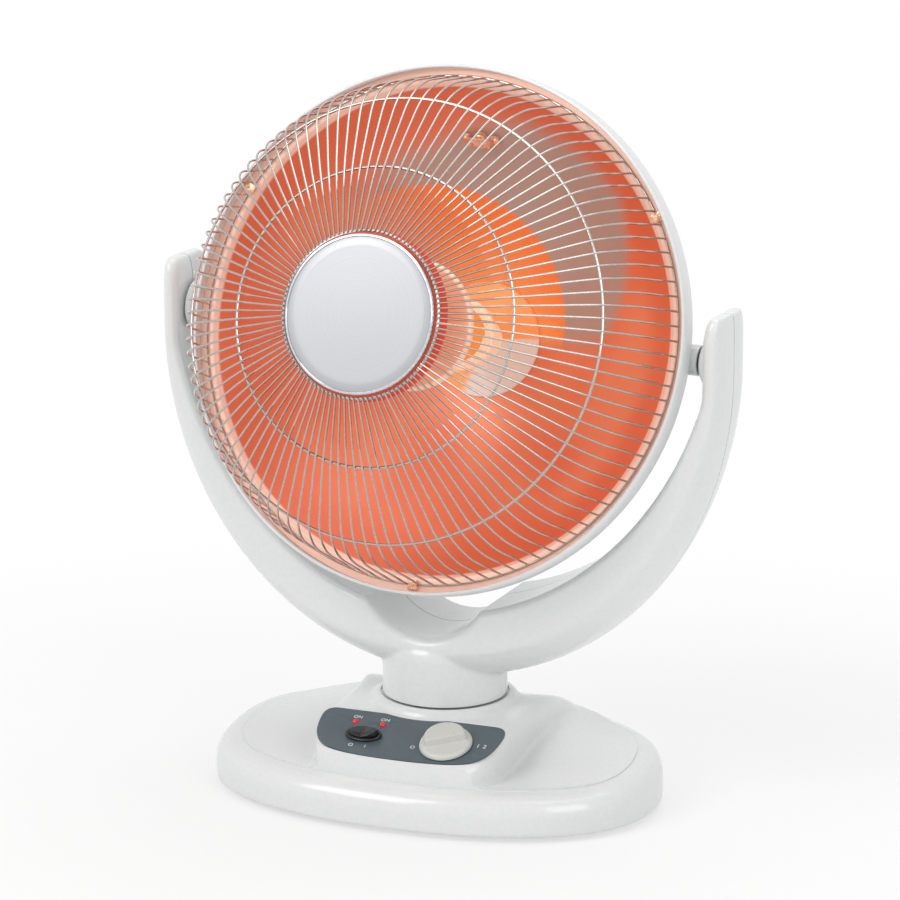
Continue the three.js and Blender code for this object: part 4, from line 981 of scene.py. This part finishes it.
head = {
    "ringRadius": 189.6, "ringBack": 11.5, "ringFront": 22, "ringLip": 6, "ringWall": 2, "segments": 180,
    "rimRadius": 176, "rimDepth": 17, "vertexDepth": -73, "sheet": 1.2, "bore": 10,
    "rearDepth": -86, "rearWall": 1.8, "vents": 12, "bossStart": 179.6, "bossEnd": 193.4,
}


def bowlDepth(radius):
    rise = head["rimDepth"] - head["vertexDepth"]
    return head["vertexDepth"] + rise * (radius / head["rimRadius"]) ** 2


def makeTrimRing():
    r, w, lip = head["ringRadius"], head["ringWall"], head["ringFront"] + head["ringLip"]
    back, step = head["ringBack"], (r - w, head["ringBack"] + 4.5)
    line = [step, (r - w, back), (r, back), (r, head["ringFront"]), (r - 0.4, lip - 1.6),
            (r - 1.2, lip - 0.2),
            (r - 2.2, lip), (r - 3, lip - 0.8), (r - w - 0.6, lip - 2.4), (r - w, head["ringFront"] - 1),
            step]
    finish(spun("trimRing", softened(line, 1.2, 3), head["segments"], tilted), glossyAbs, "white", "head",
           "trim_ring")


def makeBowl():
    flange = head["ringRadius"] - head["ringWall"] - 0.4
    radii = [head["bore"]] + [20 + 12 * i for i in range(13)] + [head["rimRadius"]]
    inner = [(r, bowlDepth(r)) for r in radii]
    level, sheet = head["rimDepth"] + 1, head["sheet"]
    lip = [(head["rimRadius"] + 0.8, level - 0.25), (head["rimRadius"] + 2, level)]
    under = [(r, depth - sheet) for r, depth in reversed(inner)]
    line = inner + lip + [(flange, level), (flange, level - sheet),
                          (head["rimRadius"] + 2, level - sheet)] + under
    finish(spun("reflectorDish", line + [inner[0]], head["segments"], tilted), reflectorPaintedGlow,
           "reflector",
           "head", "reflector_dish")


def makeRearShell():
    w = head["rearWall"]
    corners = [(183.6, 11.5), (179, -12), (150, -44), (100, -70), (44, head["rearDepth"]),
               (0, head["rearDepth"])]
    outer = softened(corners, 14, 5)
    inner = [(max(r - w, 0), d + w * 0.7) for r, d in outer]
    flange = head["rimDepth"] + 1 - head["sheet"] - 0.8
    rim = head["ringRadius"] - head["ringWall"] - 0.4
    line = outer[::-1] + [(rim, flange - w), (rim, flange), (inner[0][0], flange)] + inner
    shell = spun("rearShell", line, head["segments"])
    vents = []
    for i in range(head["vents"]):
        turn = turned((i + 0.5) / head["vents"] * 360, "Z")
        vents.append(block("vent", (40, 5, 60), (112, 0, head["rearDepth"]), turn, 2.2))
    carved(shell, joined(*vents))
    for side in (-1, 1):
        turn = turned(-90, "X") @ mirrored(side) @ lyingOn("X")
        start, end = head["bossStart"], head["bossEnd"]
        boss = softened([(3.4, start), (11, start), (11, end), (3.4, end)], 0.8, 3)
        shell = joined(shell, facingOut(spun("boss", boss + [boss[0]], 48, turn)))
    nameIt(shell, "rearShell")
    smoothShade(shell, 30)
    settle(shell, tilted)
    finish(shell, glossyAbs, "white", "head", "rear_shell")


makeTrimRing()
makeBowl()
makeRearShell()
print("bowl made")

guard = {
    "wires": 108, "radius": 0.78, "rim": (181.6, 19.35), "steps": 7, "bend": 17,
    "line": [(181.6, 20.3), (177.4, 44), (172, 76), (158, 101.5), (106, 137), (57.8, 161)],
    "crossRadius": 0.95, "hubWire": 1.2,
}


def ringProfile(radius, depth, section, count=10):
    return [(radius + section * math.cos(2 * math.pi * i / count),
             depth + section * math.sin(2 * math.pi * i / count))
            for i in range(count + 1)]


# one wire follows the bend, and is then dealt round the head's axis
def makeGuard():
    line = [(radius, 0, depth) for radius, depth in softened(guard["line"], guard["bend"], guard["steps"])]
    wire = wireAlong("guardWire", line, guard["radius"])
    editAll(wire)
    step = 2 * math.pi / guard["wires"]
    bpy.ops.mesh.spin(steps=guard["wires"] - 1, dupli=True, angle=step * (guard["wires"] - 1),
                      center=(0, 0, 0),
                      axis=(0, 0, 1))
    bpy.ops.object.mode_set(mode="OBJECT")
    rim = spun("guardRim", ringProfile(*guard["rim"], guard["radius"]), 216)
    cage = nameIt(joined(wire, rim), "wireGuard")
    smoothShade(cage, 60)
    settle(cage, tilted)
    finish(cage, chromeWire, "chrome", "head", "wire_guard")
    for name, index in (("outer", 3), ("inner", 4)):
        before, here, after = (Vector(guard["line"][index + k]) for k in (-1, 0, 1))
        along = (after - before).normalized()
        drop = guard["radius"] + guard["crossRadius"] + 0.4
        centre = here + Vector((-along.y, along.x)) * drop
        ring = spun("guardRing_" + name, ringProfile(centre.x, centre.y, guard["crossRadius"]), 180, tilted)
        finish(ring, chromeWire, "chrome", "head", "guard_ring_" + name)
    end = guard["line"][-1]
    level = end[1] - guard["radius"] - guard["hubWire"] - 0.3
    hub = spun("guardHubRing", ringProfile(end[0] + 0.6, level, guard["hubWire"]), 120, tilted)
    finish(hub, chromeWire, "chrome", "head", "guard_hub_ring")


makeGuard()

badge = {"radius": 56, "depth": 162.6, "thickness": 2.4, "rim": 2, "backRadius": 60}


def makeBadge():
    d, t = badge["depth"], badge["thickness"]
    r = badge["radius"] - badge["rim"] - 0.1
    line = [(0, d - t), (r, d - t), (r, d - 0.3), (r - 0.4, d)]
    line += [(r * (1 - i / 8), d + 1.2 * math.sin(i / 8 * math.pi / 2)) for i in range(1, 9)]
    finish(spun("badgePlate", line, 160, tilted), satinAluminium, "silver", "head", "badge_plate")
    r, w = badge["radius"], badge["rim"]
    line = [(r - w, d - 1), (r - w, d - 4), (r, d - 4), (r, d - 1), (r - 0.35, d), (r - 0.9, d + 0.5),
            (r - w + 0.4, d + 0.55), (r - w, d + 0.1), (r - w, d - 1)]
    finish(spun("badgeBezel", line, 160, tilted), brightChrome, "chrome", "head", "badge_bezel")
    r, low, boss, seat = badge["backRadius"], d - 17, 8, d - t - 0.4
    line = [(0, low + 5), (r - 14, low + 5), (r - 4, low + 1.8), (r, low), (r, low + 1.4), (r - 3.6, low + 3),
            (r - 14, low + 6.4), (boss, low + 6.4), (boss, seat), (0, seat)]
    finish(spun("hubBackPlate", line, 120, tilted), hubSteelPaintedGlow, "silver", "head", "hub_back_plate")


makeBadge()

element = {
    "core": 17.5, "flange": 26, "flangeThickness": 5, "flangeDepth": -19, "headDepth": 56,
    "headThickness": 3.4,
    "socket": 14, "wire": 1.15, "turns": 22, "steps": 28, "shield": 47, "shieldDepth": 69, "crown": 12,
    "plate": 42,
}


def makeElement():
    e = element
    seat = bowlDepth(e["plate"]) + 2.2
    line = [(0, seat), (e["socket"], seat), (e["socket"], e["flangeDepth"] - e["flangeThickness"]),
            (e["flange"], e["flangeDepth"] - e["flangeThickness"]), (e["flange"], e["flangeDepth"]),
            (e["core"], e["flangeDepth"]), (e["core"], e["headDepth"]), (e["flange"] - 2, e["headDepth"]),
            (e["flange"] - 3, e["headDepth"] + e["headThickness"]), (0, e["headDepth"] + e["headThickness"])]
    finish(spun("ceramicCore", softened(line, 0.8, 3), 80, tilted), steatitePaintedGlow, "ceramic", "head",
           "ceramic_core")
    low, high = e["flangeDepth"] + 1.8, e["headDepth"] - 1.8
    radius = e["core"] + e["wire"] + 0.4
    count = e["turns"] * e["steps"]
    line = []
    for i in range(count + 1):
        turn = i / e["steps"] * 2 * math.pi
        line.append((radius * math.cos(turn), radius * math.sin(turn), mix(low, high, i / count)))
    coil = nameIt(wireAlong("heatingCoil", line, e["wire"]), "heatingCoil")
    smoothShade(coil, 60)
    settle(coil, tilted)
    finish(coil, glowingWire, "glow", "head", "heating_coil")
    r, d, crown = e["shield"], e["shieldDepth"], e["crown"]
    skin = [(r * math.sin(i / 12 * math.pi / 2), d + crown * math.cos(i / 12 * math.pi / 2) ** 1.2)
            for i in range(13)]
    skin[-1] = (r, d)
    back = [(radius, depth - head["sheet"]) for radius, depth in skin]
    finish(spun("heatShield", back + skin[::-1], 120, tilted), shieldSteelPaintedGlow, "silver", "head", "heat_shield")
    depth = bowlDepth(e["plate"]) + 0.4
    line = [(0, depth), (e["plate"] - 0.5, depth), (e["plate"], depth + 0.4), (e["plate"] - 0.6, depth + 1.4),
            (0, depth + 1.4)]
    finish(spun("reflectorHubPlate", line, 96, tilted), vertexAluminiumPaintedReflection, "silver", "head",
           "reflector_hub_plate")


makeElement()
print("guard, badge and element made")

cutout = {"radius": 141, "size": 6, "seat": 0.8, "top": 5.2}


def onBowl():
    outer, inner = 176, 130
    slope = (bowlDepth(outer) - bowlDepth(inner)) / (outer - inner)
    depth = bowlDepth(inner) + slope * (cutout["radius"] - inner)
    return tilted @ at(0, cutout["radius"], depth) @ turned(math.degrees(math.atan(slope)), "X")


def makeCutout():
    low, high, r = cutout["seat"], cutout["top"], cutout["size"]
    line = [(0, low), (r, low), (r, high - 0.8), (r - 0.8, high), (0, high)]
    finish(spun("thermalCutout", line, 40, onBowl()), steelPaintedGlow, "black", "head", "thermal_cutout")
    top = high + 0.4
    line = [(-14, low + 0.4), (-8.4, low + 0.4), (-7.6, top), (7.6, top), (8.4, low + 0.4), (14, low + 0.4),
            (14, low + 1.4), (9.2, low + 1.4), (8.4, top + 1), (-8.4, top + 1), (-9.2, low + 1.4),
            (-14, low + 1.4)]
    strap = plate("cutoutStrap", line, -4, 4, lyingOn("Y"), 0.3)
    screws = []
    for x in (-11.6, 11.6):
        dome = [(0, low + 1), (2.3, low + 1), (2.3, low + 1.9), (1.6, low + 2.7), (0, low + 3)]
        screws.append(spun("strapScrew", dome, 24, at(x)))
    strap = nameIt(joined(strap, *screws), "cutoutStrap")
    settle(strap, onBowl())
    finish(strap, steelPaintedGlow, "steel", "head", "cutout_strap")


makeCutout()

clip = {"angles": {"right": 30, "left": 150, "bottom": 270}, "width": 7, "sheet": 1.4, "seat": 18.4,
        "outer": 186}


def makeClips():
    seat, over = clip["seat"], guard["rim"][1] + guard["radius"] + 0.4
    inner, step, outer = guard["rim"][0] - 3.6, guard["rim"][0] + guard["radius"] + 0.6, clip["outer"]
    top = over + clip["sheet"]
    line = [(step, seat), (outer, seat), (outer, top), (inner, top), (inner, over), (step, over)]
    for name, angle in clip["angles"].items():
        strip = plate("guardClip", line, -clip["width"] / 2, clip["width"] / 2, lyingOn("Y"), 0.35)
        middle = (step + outer) / 2
        dome = [(0, over + 0.6), (1.9, over + 0.6), (1.9, top + 0.5), (1.3, top + 1.0), (0, top + 1.2)]
        screw = spun("clipScrew", dome, 24, at(middle))
        piece = nameIt(joined(strip, screw), "guardClip_" + name)
        settle(piece, tilted @ turned(angle + 180 / guard["wires"], "Z"))
        finish(piece, steelPaintedGlow, "steel", "head", "guard_clip_" + name)


makeClips()
print("small head pieces made")

# the CAD nodes that keep their shape get finishes too
keptFinishes = {
    "iron": paintedSteel, "steel": zincSteel, "black": blackNylon, "acetal": naturalAcetal,
    "rubber": footRubber,
    "white": glossyAbs, "chrome": brightChrome, "silver": zincSteel,
}
for name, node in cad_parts.items():
    if node.hide_render:
        continue
    for slot in node.material_slots:
        kind = slot.material.name.split(".")[0] if slot.material else "steel"
        slot.material = keptFinishes.get(kind, zincSteel)

stage = {"size": 14, "floor": "#f4f4f4", "near": 0.25, "far": 0.75, "cover": (0.62, 1.0)}


# 1 for the camera, and for what metal and glass mirror or let through
def whiteSeen(tree):
    path = addNode(tree, "LightPath").outputs
    seen = path["Is Camera Ray"]
    for kind in ("Is Glossy Ray", "Is Transmission Ray"):
        seen = addNode(tree, "Math", {"operation": "MAXIMUM"}, {0: seen, 1: path[kind]}).outputs["Value"]
    return seen


def makeFloor():
    deselectAll()
    bpy.ops.mesh.primitive_plane_add(size=stage["size"], location=(0, 0, 0))
    floor = nameIt(bpy.context.object, "floor")
    material = bpy.data.materials.new("whitePaper")
    material.use_nodes = True
    tree = material.node_tree
    tree.nodes.clear()
    place = addNode(tree, "TexCoord").outputs["Object"]
    distance = addNode(tree, "VectorMath", {"operation": "LENGTH"}, {0: place})
    share = addNode(tree, "MapRange", {"interpolation_type": "SMOOTHSTEP"},
                    {"From Min": stage["near"], "From Max": stage["far"], "To Min": stage["cover"][0],
                     "To Max": stage["cover"][1], "Value": distance.outputs["Value"]})
    factor = addNode(tree, "Math", {"operation": "MULTIPLY"},
                     {0: whiteSeen(tree), 1: share.outputs["Result"]})
    paper = addNode(tree, "BsdfDiffuse", {}, {"Color": linear(stage["floor"])})
    glow = addNode(tree, "Emission", {}, {"Color": (1, 1, 1, 1), "Strength": 1.0})
    both = addNode(tree, "MixShader", {},
                   {0: factor.outputs["Value"], 1: paper.outputs["BSDF"], 2: glow.outputs["Emission"]})
    addNode(tree, "OutputMaterial", {}, {"Surface": both.outputs["Shader"]})
    floor.data.materials.append(material)


def makeWorld():
    world = bpy.data.worlds.new("studio")
    bpy.context.scene.world = world
    world.use_nodes = True
    tree = world.node_tree
    tree.nodes.clear()
    room = addNode(tree, "Background", {}, {"Color": linear("#f4f4f3"), "Strength": light["room"]})
    white = addNode(tree, "Background", {}, {"Color": (1, 1, 1, 1), "Strength": 1.0})
    both = addNode(tree, "MixShader", {},
                   {0: whiteSeen(tree), 1: room.outputs["Background"], 2: white.outputs["Background"]})
    addNode(tree, "OutputWorld", {}, {"Surface": both.outputs["Shader"]})


light = {
    "room": 0.5,
    "lamps": [
        ("softLeft", (-1.6, -2.2, 2.4), 1.8, 46),
        ("softRight", (2.4, -1.6, 1.7), 1.6, 22),
        ("softTop", (0.2, 0.6, 2.8), 2.2, 27),
    ],
}


def makeLamps():
    aim = Vector((0, 0, 0.22))
    for name, place, size, power in light["lamps"]:
        lamp = bpy.data.lights.new(name, "AREA")
        lamp.size, lamp.energy = size, power
        obj = bpy.data.objects.new(name, lamp)
        obj.location = place
        obj.rotation_euler = (Vector(place) - aim).to_track_quat("Z", "Y").to_euler()
        bpy.context.collection.objects.link(obj)


view = {"azimuth": 21.713, "elevation": 15.873, "place": (1604.3, -4019.3, 1482.5), "lens": 251.4,
        "sensor": 36}


def makeCamera():
    a, e = math.radians(view["azimuth"]), math.radians(view["elevation"])
    back = Vector((math.sin(a) * math.cos(e), -math.cos(a) * math.cos(e), math.sin(e)))
    camera = bpy.data.cameras.new("camera")
    camera.lens, camera.sensor_width = view["lens"], view["sensor"]
    camera.clip_start, camera.clip_end = 0.1, 40
    obj = bpy.data.objects.new("camera", camera)
    bpy.context.collection.objects.link(obj)
    obj.location = Vector(view["place"]) * mm + neckAxis
    obj.rotation_euler = back.to_track_quat("Z", "Y").to_euler()
    bpy.context.scene.camera = obj


makeFloor()
makeWorld()
makeLamps()
makeCamera()
bpy.context.scene.view_settings.view_transform = "Standard"
